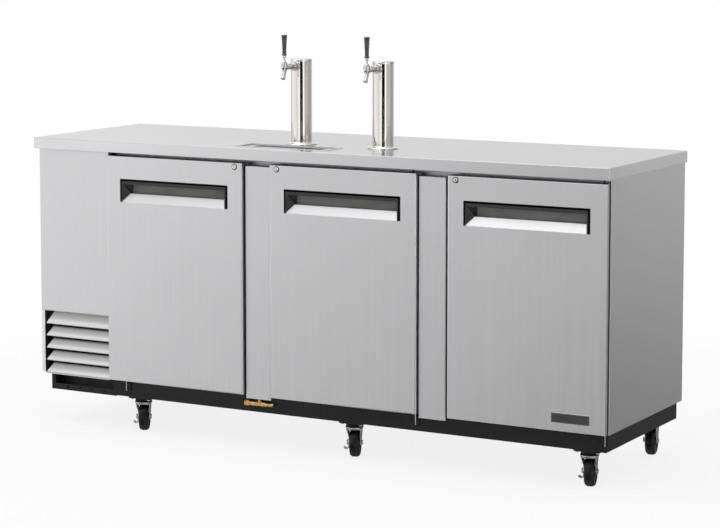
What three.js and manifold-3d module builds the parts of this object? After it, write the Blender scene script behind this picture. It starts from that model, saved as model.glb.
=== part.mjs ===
// A three-door direct-draw beer dispenser: an insulated steel cabinet on casters with two tap towers.
// Millimetres, +Z up. The origin lies on the floor under the middle of the worktop, and the doors face -Y.

import * as THREE from 'three';
import { mergeVertices } from 'three/addons/utils/BufferGeometryUtils.js';
import Module from 'manifold-3d';

const wasm = await Module();
wasm.setup();

// Sizes shared by many pieces
const fit = 0.3;
const overrun = 5;
const sheet = 1.5;
const roundSides = 20;
const smallSides = 14;
const coarseSides = 8;
const hexSides = 6;
const towerSides = 24;
const wheelSides = 20;

// Heights
const casterHeight = 130;
const cabinetHeight = 940;
const baseHeight = 61;
const apronHeight = 40;
const doorTopDrop = 53;
const doorBaseGap = 1.5;
const ceilingDrop = 90;
const panelSeatGap = 0.3;

// Depths, measured back from the front edge of the worktop
const worktopDepth = 689;
const doorSetback = 8;
const doorThickness = 50;
const gasketSpace = 12;
const mullionSetback = 22;
const panelSetback = 30;
const baseSetback = 40;
const panelBackGap = 7;
const bodyBackGap = 2;
const baseBackGap = 26;

// Widths, in order from the left end
const worktopOverhang = 5;
const bayWidth = 311;
const bayGap = 6;
const doorWidth = 577;
const lockGap = 5;
const mullionWidth = 103;
const hingeGap = 3.5;
const thirdDoorGap = 13;
const endGap = 3;
const baseLeftInset = 49;
const baseRightInset = 13;

// Worktop
const hemWidth = 5;
const lineHoleRadius = 25;

// Insulated body
const wall = 50;
const openingInset = 48;
const mullionDepth = 60;

// Doors
const doorSheet = 1.2;
const foldShortfall = 2;
const linerInset = 60;
const linerHeight = 8;
const linerSlope = 6;
const gasketInset = 12;
const gasketWidth = 16;
const gasketRound = 3;

// Recessed handles
const handleLength = 458;
const handleHeight = 84;
const handleDrop = 82;
const handleDepth = 35;
const handleProud = 1.5;
const handleBand = 8;
const handleSkin = 2;
const handleRampHeight = 32;
const handleTopSlope = 6;

// Door locks
const lockInset = 30;
const lockDrop = 14.5;
const lockRadius = 8.5;
const lockProud = 2;
const lockDepth = 24;
const lockChamfer = 1;
const keywayWidth = 2;
const keywayLength = 8;
const keywayDepth = 3;

// Door hinges
const hingeInset = 15;
const hingeDepth = 9;
const hingePinRadius = 4;
const hingePinReach = 12;
const hingeLength = 76;
const hingePlate = 3.5;
const hingeDrop = 4;
const hingeDropHeight = 38;
const hingeNose = 5;

// Machine bay
const grilleHeight = 239;
const sideFlange = 18;
const panelReturn = 20;
const ventCount = 9;
const ventHeight = 8;
const ventPitch = 24;
const ventInset = 50;
const ventStart = 120;

// Louvered grille
const slatCount = 5;
const slatPitch = 46;
const slatRise = 37;
const slatDepth = 15;
const slatSheet = 1.5;
const lipRadius = 4;
const grilleSide = 6;
const grilleFoot = 3;
const grilleReturn = 18;
const lipSteps = 4;
const lipStartShare = 0.86;
const lipSweepShare = 0.86;

// Mullion covers
const mullionTopDrop = 62;
const mullionBaseLap = 11;

// Base frame
const channelSheet = 3;
const channelFlange = 40;
const crossWidth = 50;
const lipHeight = 20;
const lipHoleRadius = 5;
const lipHoleCount = 4;
const lipHolePitch = 55;
const bayFrontOpening = 286;

// Drain valve
const valveRadius = 8;
const valveLength = 118;
const valveRise = 32;
const valveStemRadius = 5;
const valveStemOffset = 60;
const valveStemRise = 26;
const valveCapRadius = 10;
const valveCapLength = 22;
const valveNippleRadius = 6;
const valveNippleLength = 30;
const valveSaddleLength = 20;
const valveWallGap = 2;
const capRibs = 8;
const capRibDepth = 1;

// Drip tray
const trayLength = 378;
const trayWidth = 120;
const trayFront = 64;
const trayRim = 10;
const trayDepth = 24;
const traySheet = 1.2;
const trayRimRise = 1.2;
const trayLedge = 4;
const trayLedgeDrop = 5;
const trayCentre = 1021;
const grateSheet = 2;
const grateSlots = 27;
const grateSlotWidth = 5;
const grateSlotMargin = 12;
const grateEndMargin = 40;

// Tap towers
const towerFirst = 1005;
const towerPitch = 331;
const towerSetback = 243;
const towerHeight = 305;
const towerRadius = 38;
const towerWall = 2;
const towerFlangeRadius = 56;
const towerFlangeHeight = 5;
const towerFlangeEdge = 2.5;
const towerCapHeight = 6;
const towerCapLip = 0.8;
const towerCapChamfer = 1;

// Faucets
const tapHeight = 280;
const tapReach = 118;
const shankRadius = 11;
const shankInside = 16;
const roseRadius = 17;
const roseThickness = 5;
const nutRadius = 16;
const nutLength = 17;
const nutNotches = 6;
const nutNotchRadius = 2.5;
const barrelRadius = 10.5;
const barrelWaist = 8.5;
const headRadius = 12;
const headFoot = 14;
const headCrown = 7;
const headFootShare = 0.6;
const bonnetRadius = 11.5;
const bonnetHeight = 9;
const ballRadius = 8.5;
const ballSteps = 4;
const ventNubRadius = 3;
const ventNubHeight = 14;
const ventNubReach = 85;
const spoutRadius = 7;
const spoutTipRadius = 8.5;
const spoutTipLength = 7;
const spoutDrop = 41;
const spoutLean = 20;
const spoutMouthRadius = 5.5;
const spoutMouthDepth = 3;
const leverStemRadius = 3.5;
const leverCollarRadius = 6.5;
const leverCollarHeight = 10;
const leverCollarStart = 312;
const knobStart = 322.5;
const knobTop = 394.7;
const knobTopRadius = 10.3;
const knobFootRadius = 6.5;
const knobFlareRadius = 9.5;
const knobFlareHeight = 5;
const knobCrown = 3;
const knobFlutes = 6;
const knobFluteRadius = 1.6;

// Casters
const casterFirstInset = 109;
const casterMiddleShift = 16.5;
const casterLastInset = 72;
const casterFrontInset = 32;
const casterRearInset = 59;
const casterTrail = 24;
const casterTurns = [27, 22, 14];
const casterRearTurns = [24, 18, 12];
const plateLength = 92;
const plateWidth = 60;
const plateThickness = 5;
const cupRadius = 30;
const cupHeight = 9;
const wheelRadius = 51;
const wheelWidth = 32;
const wheelShoulder = 7;
const wheelFace = 40;
const wheelDish = 4;
const wheelHubRadius = 15;
const wheelHubGap = 0.3;
const axleRadius = 6;
const forkGap = 35;
const forkSheet = 3;
const forkHeadRadius = 32;
const forkHeadHeight = 8;
const forkHeadLip = 2;
const forkLegTop = 46;
const forkLegFoot = 13;
const axleHeadRadius = 9;
const axleHeadLength = 5;

// Caster brakes
const brakeDiscRadius = 12;
const brakeDiscThickness = 4;
const brakeArmWidth = 16;
const brakeArmSheet = 2.5;
const brakeArmReach = 26;
const brakeArmDrop = 12;
const brakeTipRise = 9;
const brakeStartShare = 0.8;
const brakeBendShare = 0.7;

// Condensing unit
const unitTraySheet = 3;
const unitTrayWidth = 250;
const unitTrayDepth = 500;
const unitSetback = 62;
const condenserHeight = 205;
const condenserDepth = 40;
const finCount = 12;
const finGap = 6;
const finDepth = 6;
const shroudDepth = 26;
const shroudHoleRadius = 88;
const motorRadius = 32;
const motorLength = 55;
const motorGap = 12;
const strutWidth = 14;
const compressorRadius = 85;
const compressorHeight = 175;
const compressorDome = 45;
const compressorSetback = 360;
const compressorFoot = 12;
const shellFootShare = 0.8;
const domeWidthShares = [0.92, 0.65];
const domeHeightShares = [0.45, 0.82];
const pipeRadius = 5;
const pipeSides = 6;
const pipeRise = 60;
const pipeLowShare = 0.6;
const pipeEndShare = 0.55;

// Fans
const fanHubRadius = 22;
const fanHubLength = 16;
const fanBlades = 5;
const fanTipGap = 6;
const bladeSheet = 2;
const bladeChord = 36;
const bladeTilt = 28;
const bladeSeatShare = 0.4;

// Evaporator
const coilCaseDepth = 95;
const coilCaseHeight = 460;
const coilCaseCeilingGap = 48.7;
const coilCaseFrontGap = 20;
const coilCaseBackGap = 60;
const coilRecessDepth = 55;
const coilHoleRadius = 78;
const coilHoleShare = 0.72;
const coilMotorLength = 74;
const coilSlotCount = 6;
const coilSlotHeight = 7;
const coilSlotDepth = 8;
const coilSlotPitch = 18;
const coilSlotInset = 40;

// Places worked out from the sizes
const worktopZ = casterHeight + cabinetHeight;
const baseTopZ = casterHeight + baseHeight;
const apronZ = worktopZ - apronHeight;
const doorTopZ = worktopZ - doorTopDrop;
const doorBottomZ = baseTopZ + doorBaseGap;
const doorHeight = doorTopZ - doorBottomZ;
const ceilingZ = worktopZ - ceilingDrop;
const slabBottomZ = apronZ + sheet + fit;
const slabTopZ = worktopZ - sheet - fit;
const bodyBottomZ = baseTopZ + fit;
const floorZ = bodyBottomZ + wall;

// Every place along the cabinet is a distance from the left end of the worktop, and every place
// across it is a distance back from the front edge. These two turn them into X and Y.
const bayLeft = worktopOverhang;
const bayRight = bayLeft + bayWidth;
const doorLefts = [bayRight + bayGap];
const mullionLefts = [doorLefts[0] + doorWidth + lockGap];
doorLefts.push(mullionLefts[0] + mullionWidth + lockGap);
mullionLefts.push(doorLefts[1] + doorWidth + hingeGap);
doorLefts.push(mullionLefts[1] + mullionWidth + thirdDoorGap);
const panelRightInside = doorLefts[2] + doorWidth + endGap;
const panelRight = panelRightInside + sheet;
const worktopLength = panelRight + worktopOverhang;
const along = (distance) => distance - worktopLength / 2;
const back = (distance) => distance - worktopDepth / 2;

const doorBack = doorSetback + doorThickness;
const bodyFront = doorBack + gasketSpace;
const panelBack = worktopDepth - panelBackGap;
const bodyBack = panelBack - bodyBackGap;
const bodyLeft = bayRight + sheet;
const bodyRight = panelRightInside - fit;
const insideLeft = bodyLeft + wall;
const insideRight = bodyRight - wall;
const insideFront = bodyFront + mullionDepth;
const insideBack = bodyBack - wall;
const baseLeft = bayLeft + baseLeftInset;
const baseRight = panelRight - baseRightInset;
const baseBack = worktopDepth - baseBackGap;
const hingeAxisSetback = doorSetback + hingeDepth;
const doorHingeSides = [-1, 1, 1];
const towerXs = [towerFirst, towerFirst + towerPitch];
const casterXs = [
  doorLefts[0] + casterFirstInset,
  doorLefts[1] + doorWidth / 2 + casterMiddleShift,
  baseRight - casterLastInset,
];
const casterFrontSetback = baseSetback + casterFrontInset;
const casterRearSetback = baseBack - casterRearInset;
const coilCaseLength = insideBack - insideFront - coilCaseFrontGap - coilCaseBackGap;
const coilCaseSetback = insideFront + coilCaseFrontGap;
const coilCaseZ = ceilingZ - coilCaseCeilingGap - coilCaseHeight;

// Turns a closed mesh into a solid that can be joined and cut
function toSolid(geometry) {
  const bare = geometry.clone();
  bare.deleteAttribute('normal');
  bare.deleteAttribute('uv');
  const merged = mergeVertices(bare, fit / 1000);
  const places = merged.attributes.position.array;
  const corners = merged.index.array;
  const kept = [];
  const a = new THREE.Vector3();
  const b = new THREE.Vector3();
  const c = new THREE.Vector3();
  let volume = 0;
  for (let i = 0; i < corners.length; i += 3) {
    const [p, q, r] = [corners[i], corners[i + 1], corners[i + 2]];
    if (p === q || q === r || r === p) continue;
    kept.push(p, q, r);
    a.fromArray(places, p * 3);
    b.fromArray(places, q * 3);
    c.fromArray(places, r * 3);
    volume += a.dot(b.cross(c));
  }
  if (volume < 0) kept.reverse();
  return new wasm.Manifold(new wasm.Mesh({
    numProp: 3,
    vertProperties: new Float32Array(places),
    triVerts: new Uint32Array(kept),
  }));
}

function toGeometry(solid) {
  const mesh = solid.getMesh();
  const geometry = new THREE.BufferGeometry();
  geometry.setAttribute('position', new THREE.BufferAttribute(new Float32Array(mesh.vertProperties), 3));
  geometry.setIndex(new THREE.BufferAttribute(new Uint32Array(mesh.triVerts), 1));
  geometry.computeVertexNormals();
  return geometry;
}

// Joins closed meshes into one
function join(...pieces) {
  return toGeometry(pieces.map(toSolid).reduce((whole, piece) => whole.add(piece)));
}

// Cuts each tool out of a closed mesh
function cut(piece, ...tools) {
  return toGeometry(tools.map(toSolid).reduce((rest, tool) => rest.subtract(tool), toSolid(piece)));
}

// A box between two corners, given as ranges along X, Y and Z
function block([x0, x1], [y0, y1], [z0, z1]) {
  const geometry = new THREE.BoxGeometry(x1 - x0, y1 - y0, z1 - z0);
  return geometry.translate((x0 + x1) / 2, (y0 + y1) / 2, (z0 + z1) / 2);
}

function shapeOf(points) {
  return new THREE.Shape(points.map(([x, y]) => new THREE.Vector2(x, y)));
}

// An outline in X and Y pushed up along Z
function prismZ(points, [z0, z1]) {
  const geometry = new THREE.ExtrudeGeometry(shapeOf(points), { depth: z1 - z0, bevelEnabled: false });
  return geometry.translate(0, 0, z0);
}

// An outline in Y and Z pushed along X
function prismX(points, [x0, x1]) {
  const geometry = new THREE.ExtrudeGeometry(shapeOf(points), { depth: x1 - x0, bevelEnabled: false });
  return geometry.rotateY(Math.PI / 2).rotateX(Math.PI / 2).translate(x0, 0, 0);
}

// An outline in X and Z pushed back along Y
function prismY(points, [y0, y1]) {
  const geometry = new THREE.ExtrudeGeometry(shapeOf(points), { depth: y1 - y0, bevelEnabled: false });
  return geometry.rotateX(Math.PI / 2).translate(0, y1, 0);
}

// A profile of radius and height turned round the Z axis
function turned(points, sides = roundSides) {
  const profile = points.map(([radius, height]) => new THREE.Vector2(radius, height));
  return new THREE.LatheGeometry(profile, sides).rotateX(Math.PI / 2);
}

// A ring profile that doesn't touch the axis, closed on itself
function turnedRing(points, sides = roundSides) {
  return turned([...points, points[0]], sides);
}

// A round bar between two heights on the Z axis
function bar(radius, [z0, z1], sides = smallSides) {
  return turned([[0, z0], [radius, z0], [radius, z1], [0, z1]], sides);
}

// The outline of a bent strip: a centre line given its thickness on both sides
function strip(line, thickness) {
  const left = [];
  const right = [];
  line.forEach(([x, y], i) => {
    const before = line[Math.max(i - 1, 0)];
    const after = line[Math.min(i + 1, line.length - 1)];
    const into = new THREE.Vector2(x - before[0], y - before[1]).normalize();
    const out = new THREE.Vector2(after[0] - x, after[1] - y).normalize();
    if (i === 0) into.copy(out);
    if (i === line.length - 1) out.copy(into);
    const across = new THREE.Vector2(-into.y - out.y, into.x + out.x).normalize();
    const reach = thickness / 2 / (across.x * -into.y + across.y * into.x);
    left.push([x + across.x * reach, y + across.y * reach]);
    right.unshift([x - across.x * reach, y - across.y * reach]);
  });
  return [...left, ...right];
}

const group = new THREE.Group();
group.name = 'beer_dispenser';

function material(colour, roughness, metalness) {
  return new THREE.MeshStandardMaterial({ color: colour, roughness, metalness });
}

const brushedSteel = material('#c3c2c4', 0.38, 1);
const polishedSteel = material('#dddbd8', 0.12, 1);
const zincSteel = material('#a9a9a7', 0.35, 1);
const blackSteel = material('#29292a', 0.5, 0.3);
const linerAluminium = material('#b9bcbe', 0.45, 0.9);
const brass = material('#b98d3c', 0.3, 1);
const blackPlastic = material('#1d1c1e', 0.35, 0);
const greyPlastic = material('#3b3a3e', 0.45, 0);
const gasketRubber = material('#2c2d2f', 0.7, 0);
const foamWhite = material('#d9d9d4', 0.6, 0);
const tyreRubber = material('#1a191b', 0.55, 0);
const machineBlack = material('#222325', 0.6, 0.2);

function place(name, geometry, finish, parent = group) {
  const mesh = new THREE.Mesh(join(geometry), finish);
  mesh.name = name;
  parent.add(mesh);
  return mesh;
}

// A steel channel of the base, open on the side that is named
function channel([x0, x1], [y0, y1], openSide) {
  const whole = block([x0, x1], [y0, y1], [casterHeight, baseTopZ]);
  const inner = {
    x: [x0 - overrun, x1 + overrun],
    y: [y0 - overrun, y1 + overrun],
  };
  if (openSide === '+y') inner.y = [y0 + channelSheet, y1 + overrun];
  if (openSide === '-y') inner.y = [y0 - overrun, y1 - channelSheet];
  if (openSide === '+x') inner.x = [x0 + channelSheet, x1 + overrun];
  if (openSide === '-x') inner.x = [x0 - overrun, x1 - channelSheet];
  return cut(whole, block(inner.x, inner.y, [casterHeight + channelSheet, baseTopZ - channelSheet]));
}

// Welded base: channels all round, cross channels over the casters, a pan under the machine bay
function baseFrame() {
  const xs = [along(baseLeft), along(baseRight)];
  const ys = [back(baseSetback), back(baseBack)];
  const bayFront = along(baseLeft + bayFrontOpening);
  const pieces = [
    channel([bayFront, xs[1]], [ys[0], ys[0] + channelFlange], '+y'),
    channel(xs, [ys[1] - channelFlange, ys[1]], '-y'),
    channel([xs[0], xs[0] + channelFlange], ys, '+x'),
    channel([xs[1] - channelFlange, xs[1]], ys, '-x'),
    block([along(bayLeft) + sheet + fit, bayFront + channelFlange],
      [back(panelSetback) + grilleReturn + fit, ys[1]], [baseTopZ - channelSheet, baseTopZ]),
  ];
  const lip = block([xs[0], bayFront + channelSheet], [ys[0], ys[0] + channelSheet],
    [casterHeight, casterHeight + lipHeight]);
  const holes = [];
  for (let i = 0; i < lipHoleCount; i += 1) {
    const x = (xs[0] + bayFront) / 2 + (i - (lipHoleCount - 1) / 2) * lipHolePitch;
    const hole = bar(lipHoleRadius, [-overrun, channelSheet + overrun], coarseSides).rotateX(-Math.PI / 2);
    holes.push(hole.translate(x, ys[0], casterHeight + lipHeight / 2));
  }
  pieces.push(cut(lip, ...holes));
  for (const x of casterXs) {
    const half = plateLength / 2;
    const beam = [along(x) - crossWidth / 2, along(x) + crossWidth / 2];
    pieces.push(cut(block(beam, ys, [casterHeight, baseTopZ - channelSheet - fit]),
      block([beam[0] + channelSheet, beam[1] - channelSheet], [ys[0] - overrun, ys[1] + overrun],
        [casterHeight + channelSheet, baseTopZ + overrun])));
    for (const setback of [casterFrontSetback, casterRearSetback]) {
      const y = back(setback);
      pieces.push(block([along(x) - half, along(x) + half],
        [y - plateWidth / 2, y + plateWidth / 2], [casterHeight - plateThickness, casterHeight]));
      pieces.push(block([along(x) - half, along(x) + half],
        [y - plateWidth / 2, y + plateWidth / 2], [casterHeight, casterHeight + channelSheet]));
      pieces.push(bar(cupRadius, [casterHeight - plateThickness - cupHeight, casterHeight], smallSides)
        .translate(along(x), y, 0));
    }
  }
  return join(...pieces);
}

// The hole that the drip tray drops into, between two heights
function trayHole(zs) {
  const half = [trayLength / 2 - trayRim + fit, trayWidth / 2 - trayRim + fit];
  return block([-half[0], half[0]], [-half[1], half[1]], zs)
    .translate(along(trayCentre), back(trayFront + trayWidth / 2), 0);
}

// Foamed cabinet: a lined box with three doorways, and the slab that fills the worktop
function cabinetBody() {
  const box = block([along(bodyLeft), along(bodyRight)], [back(bodyFront), back(bodyBack)],
    [bodyBottomZ, slabTopZ]);
  const slab = block([along(sheet + fit), along(worktopLength - sheet - fit)],
    [back(sheet + fit), back(worktopDepth - sheet - fit)], [slabBottomZ, slabTopZ]);
  const tools = [
    block([along(insideLeft), along(insideRight)], [back(insideFront), back(insideBack)],
      [floorZ, ceilingZ]),
    trayHole([worktopZ - trayDepth - fit, slabTopZ + overrun]),
  ];
  for (const left of doorLefts) {
    tools.push(block([along(left + openingInset), along(left + doorWidth - openingInset)],
      [back(bodyFront - overrun), back(insideFront + overrun)], [floorZ, ceilingZ]));
  }
  for (const x of towerXs) {
    tools.push(bar(lineHoleRadius, [ceilingZ - overrun, slabTopZ + overrun])
      .translate(along(x), back(towerSetback), 0));
  }
  return cut(join(box, slab), ...tools);
}

// Folded steel side, closed round the back of the machine bay on the left
function leftSidePanel() {
  const x = along(bayLeft);
  const y0 = back(panelSetback);
  const y1 = back(panelBack);
  const half = sheet / 2;
  const sideTop = apronZ - panelSeatGap;
  const grilleTopZ = baseTopZ + grilleHeight - overrun;
  const lower = strip([
    [x + sideFlange, y0 + half], [x + half, y0 + half],
    [x + half, y1 - half], [along(bodyLeft) - fit, y1 - half],
  ], sheet);
  const upper = strip([
    [x + half, y0 + sheet + fit],
    [x + half, y1 - half], [along(bodyLeft) - fit, y1 - half],
  ], sheet);
  const vents = [];
  for (let i = 0; i < ventCount; i += 1) {
    const z = baseTopZ + ventStart + i * ventPitch;
    vents.push(block([x + ventInset, along(bayRight - ventInset)],
      [y1 - sheet - overrun, y1 + overrun], [z, z + ventHeight]));
  }
  return cut(join(prismZ(lower, [baseTopZ, grilleTopZ - fit]), prismZ(upper, [grilleTopZ - sheet, sideTop])),
    ...vents);
}

// Folded steel side with a return round the back edge of the body
function rightSidePanel() {
  const x = along(panelRight);
  const y1 = back(panelBack);
  const half = sheet / 2;
  const line = [
    [x - half, back(panelSetback)], [x - half, y1 - half], [x - panelReturn, y1 - half],
  ];
  return prismZ(strip(line, sheet), [baseTopZ, apronZ - panelSeatGap]);
}

// Plain cover over the upper machine bay
function machineFrontPanel() {
  const y = back(panelSetback) + sheet / 2;
  const x1 = along(bayRight) - sheet / 2;
  const line = [[along(bayLeft), y], [x1, y], [x1, y + panelReturn]];
  return prismZ(strip(line, sheet), [baseTopZ + grilleHeight - overrun, apronZ - panelSeatGap]);
}

// Air intake: slats that lean out towards a rolled lower lip, held in a folded surround
function louverGrille() {
  const x0 = along(bayLeft + sideFlange) + fit;
  const x1 = along(bayRight);
  const front = back(panelSetback);
  const bottom = baseTopZ - overrun;
  const top = baseTopZ + grilleHeight - overrun - fit;
  const pieces = [
    block([x0, x0 + grilleSide], [front, front + slatSheet], [bottom, top]),
    block([x1 - grilleSide, x1], [front, front + slatSheet], [bottom, top]),
    block([x0, x0 + slatSheet], [front, front + grilleReturn], [bottom, top]),
    block([x1 - slatSheet, x1], [front, front + grilleReturn], [bottom, top]),
    block([x0, x1], [front, front + grilleReturn], [bottom, bottom + grilleFoot]),
  ];
  for (let i = 0; i < slatCount; i += 1) {
    const foot = bottom + grilleFoot + i * slatPitch;
    const centre = [front + lipRadius, foot + lipRadius];
    const line = [[front + slatDepth, i === slatCount - 1 ? top - slatSheet : foot + slatRise]];
    for (let step = 0; step <= lipSteps; step += 1) {
      const turn = Math.PI * (lipStartShare + lipSweepShare * step / lipSteps);
      const reach = lipRadius - slatSheet / 2;
      line.push([centre[0] + reach * Math.cos(turn), centre[1] + reach * Math.sin(turn)]);
    }
    pieces.push(prismX(strip(line, slatSheet), [x0 + slatSheet / 2, x1 - slatSheet / 2]));
  }
  pieces.push(block([x0, x1], [front, front + grilleReturn], [top - slatSheet, top]));
  const notch = block([x0 - overrun, x1 + overrun], [back(baseSetback) - fit, front + grilleReturn + overrun],
    [bottom - overrun, baseTopZ + fit]);
  return cut(join(...pieces), notch);
}

// Folded steel cover of the post between two doorways, notched over the base
function mullionCover(left) {
  const y0 = back(mullionSetback);
  const y1 = back(bodyFront) - fit;
  const half = sheet / 2;
  const x0 = along(left) + half;
  const x1 = along(left + mullionWidth) - half;
  const line = [[x0, y1], [x0, y0 + half], [x1, y0 + half], [x1, y1]];
  const whole = prismZ(strip(line, sheet), [baseTopZ - mullionBaseLap, worktopZ - mullionTopDrop]);
  const cap = block([x0, x1], [y0 + half, y1],
    [worktopZ - mullionTopDrop - sheet, worktopZ - mullionTopDrop]);
  const notch = block([x0 - overrun, x1 + overrun], [back(baseSetback) - fit, y1 + overrun],
    [casterHeight, baseTopZ + fit]);
  return cut(join(whole, cap), notch);
}

// Worktop pan: one sheet with a folded apron and a hem, cut out for the tray and the towers
function worktop() {
  const xs = [along(0), along(worktopLength)];
  const ys = [back(0), back(worktopDepth)];
  const whole = block(xs, ys, [apronZ, worktopZ]);
  const hollow = block([xs[0] + sheet, xs[1] - sheet], [ys[0] + sheet, ys[1] - sheet],
    [apronZ + sheet, worktopZ - sheet]);
  const mouth = block([xs[0] + hemWidth, xs[1] - hemWidth], [ys[0] + hemWidth, ys[1] - hemWidth],
    [apronZ - overrun, worktopZ - sheet]);
  const tray = trayHole([worktopZ - sheet - overrun, worktopZ + overrun]);
  const holes = towerXs.map((x) => bar(lineHoleRadius, [worktopZ - sheet - overrun, worktopZ + overrun])
    .translate(along(x), back(towerSetback), 0));
  return cut(whole, hollow, mouth, tray, ...holes);
}

// Pressed tray: a rim on the worktop, a ledge for the grate and a pan below it
function dripTray() {
  const half = [trayLength / 2, trayWidth / 2];
  const level = (inset, [z0, z1]) => block([-half[0] + inset, half[0] - inset],
    [-half[1] + inset, half[1] - inset], [z0, z1]);
  const ledge = trayRim + traySheet;
  const deep = ledge + trayLedge;
  return cut(
    join(level(0, [fit, fit + trayRimRise]), level(trayRim, [-trayDepth, fit + trayRimRise])),
    level(ledge, [-trayLedgeDrop, overrun]),
    level(deep, [-trayDepth + traySheet, overrun]),
  );
}

// Lift-out grate with a row of slots that run front to back
function dripGrate() {
  const inset = trayRim + traySheet + fit;
  const x = trayLength / 2 - inset;
  const y = trayWidth / 2 - inset;
  const pitch = (x - grateEndMargin) * 2 / (grateSlots - 1);
  const slots = [];
  for (let i = 0; i < grateSlots; i += 1) {
    const middle = -x + grateEndMargin + i * pitch;
    slots.push(block([middle - grateSlotWidth / 2, middle + grateSlotWidth / 2],
      [-y + grateSlotMargin, y - grateSlotMargin], [-overrun, grateSheet + overrun]));
  }
  return cut(block([-x, x], [-y, y], [0, grateSheet]), ...slots);
}

// Brass drain valve: a body along the front of the base, with a stem up into the post
function drainValve() {
  const ribs = [];
  for (let i = 0; i < capRibs; i += 1) {
    const turn = 2 * Math.PI * i / capRibs;
    ribs.push(bar(capRibDepth, [-overrun, valveCapLength - overrun], hexSides)
      .translate(valveCapRadius * Math.cos(turn), valveCapRadius * Math.sin(turn), 0));
  }
  const cap = cut(bar(valveCapRadius, [0, valveCapLength], roundSides), ...ribs);
  const nippleStart = valveLength - valveNippleLength;
  const body = join(
    cap,
    bar(valveRadius, [valveCapLength - capRibDepth, nippleStart]),
    bar(valveRadius + capRibDepth, [valveStemOffset - valveRadius, valveStemOffset + valveRadius], hexSides),
    bar(valveNippleRadius, [nippleStart - capRibDepth, valveLength]),
    bar(valveNippleRadius + capRibDepth, [valveLength - capRibDepth * 3, valveLength - capRibDepth * 2]),
  ).rotateY(Math.PI / 2);
  const stem = bar(valveStemRadius, [0, valveStemRise]).translate(valveStemOffset, 0, 0);
  const saddle = block([valveStemOffset - valveSaddleLength / 2, valveStemOffset + valveSaddleLength / 2],
    [0, valveRadius + valveWallGap - fit], [-valveRadius / 2, valveRadius / 2]);
  return join(body, stem, saddle);
}

// A fan: a hub with tilted blades, turning on the Z axis
function fan(radius) {
  const pieces = [bar(fanHubRadius, [0, fanHubLength])];
  for (let i = 0; i < fanBlades; i += 1) {
    const blade = new THREE.BoxGeometry(bladeChord, radius - fanHubRadius / 2, bladeSheet);
    blade.rotateY(THREE.MathUtils.degToRad(bladeTilt));
    blade.translate(0, (radius + fanHubRadius / 2) / 2, fanHubLength * bladeSeatShare);
    blade.rotateZ(2 * Math.PI * i / fanBlades);
    pieces.push(blade);
  }
  const rim = turned([[0, -radius], [radius, -radius], [radius, radius], [0, radius]]);
  return toGeometry(toSolid(join(...pieces)).intersect(toSolid(rim)));
}

// A round pipe along a smooth path
function pipe(points, radius) {
  const path = new THREE.CatmullRomCurve3(points.map((point) => new THREE.Vector3(...point)));
  const section = new THREE.Shape();
  section.absarc(0, 0, radius, 0, Math.PI * 2);
  return new THREE.ExtrudeGeometry(section, {
    steps: points.length * 2, curveSegments: pipeSides, bevelEnabled: false, extrudePath: path,
  });
}

// Compressor, condenser and fan shroud on one tray, with the front of the tray at Y 0
function condensingUnit() {
  const half = unitTrayWidth / 2;
  const fanZ = unitTraySheet + condenserHeight / 2;
  const core = block([-half, half], [0, condenserDepth], [0, unitTraySheet + condenserHeight]);
  const fins = [];
  for (let i = 0; i < finCount; i += 1) {
    const z = unitTraySheet + (i + 0.5) * condenserHeight / finCount;
    fins.push(block([-half + finDepth, half - finDepth], [-overrun, finDepth],
      [z - finGap / 2, z + finGap / 2]));
  }
  const shroudBack = condenserDepth + shroudDepth;
  const mouth = bar(shroudHoleRadius, [condenserDepth, shroudBack + overrun], roundSides)
    .rotateX(-Math.PI / 2).translate(0, 0, fanZ);
  const shroud = cut(
    block([-half, half], [condenserDepth - fit, shroudBack], [0, unitTraySheet + condenserHeight]), mouth);
  const motorFront = shroudBack + motorGap;
  const strutFront = motorFront + motorGap;
  const strutZs = [fanZ - strutWidth / 2, fanZ + strutWidth / 2];
  const motor = bar(motorRadius, [motorFront, motorFront + motorLength])
    .rotateX(-Math.PI / 2).translate(0, 0, fanZ);
  const struts = [-1, 1].map((side) => block(
    [side > 0 ? motorRadius / 2 : -half, side > 0 ? half : -motorRadius / 2],
    [strutFront, strutFront + channelSheet], strutZs));
  const arms = [-1, 1].map((side) => block(
    side > 0 ? [half - channelSheet, half] : [-half, -half + channelSheet],
    [shroudBack - fit, strutFront + channelSheet], strutZs));
  const tray = block([-half, half], [0, unitTrayDepth], [0, unitTraySheet]);
  const dome = compressorHeight - compressorDome;
  const shell = turned([
    [0, 0],
    [compressorRadius * shellFootShare, 0],
    [compressorRadius, compressorFoot],
    [compressorRadius, dome],
    ...domeWidthShares.map((share, i) => [
      compressorRadius * share, dome + compressorDome * domeHeightShares[i],
    ]),
    [0, compressorHeight],
  ], smallSides).translate(0, compressorSetback, compressorFoot);
  const feet = [-1, 1].map((side) => block(
    [side * compressorRadius - compressorFoot, side * compressorRadius + compressorFoot],
    [compressorSetback - compressorRadius, compressorSetback + compressorRadius],
    [unitTraySheet - fit, compressorFoot * 2]));
  const line = pipe([
    [-half + finDepth * 2, shroudBack - pipeRadius, unitTraySheet + condenserHeight - pipeRise],
    [-half + finDepth * 2, shroudBack + pipeRise, unitTraySheet + condenserHeight - pipeRise],
    [-half + finDepth * 3, (shroudBack + compressorSetback) / 2, compressorHeight - compressorDome],
    [-compressorRadius / 2, compressorSetback - compressorRadius, compressorHeight * pipeLowShare],
    [0, compressorSetback - pipeRise / 2, compressorHeight * pipeEndShare],
  ], pipeRadius);
  return join(cut(core, ...fins), shroud, motor, ...struts, ...arms, tray, shell, ...feet, line);
}

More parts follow.
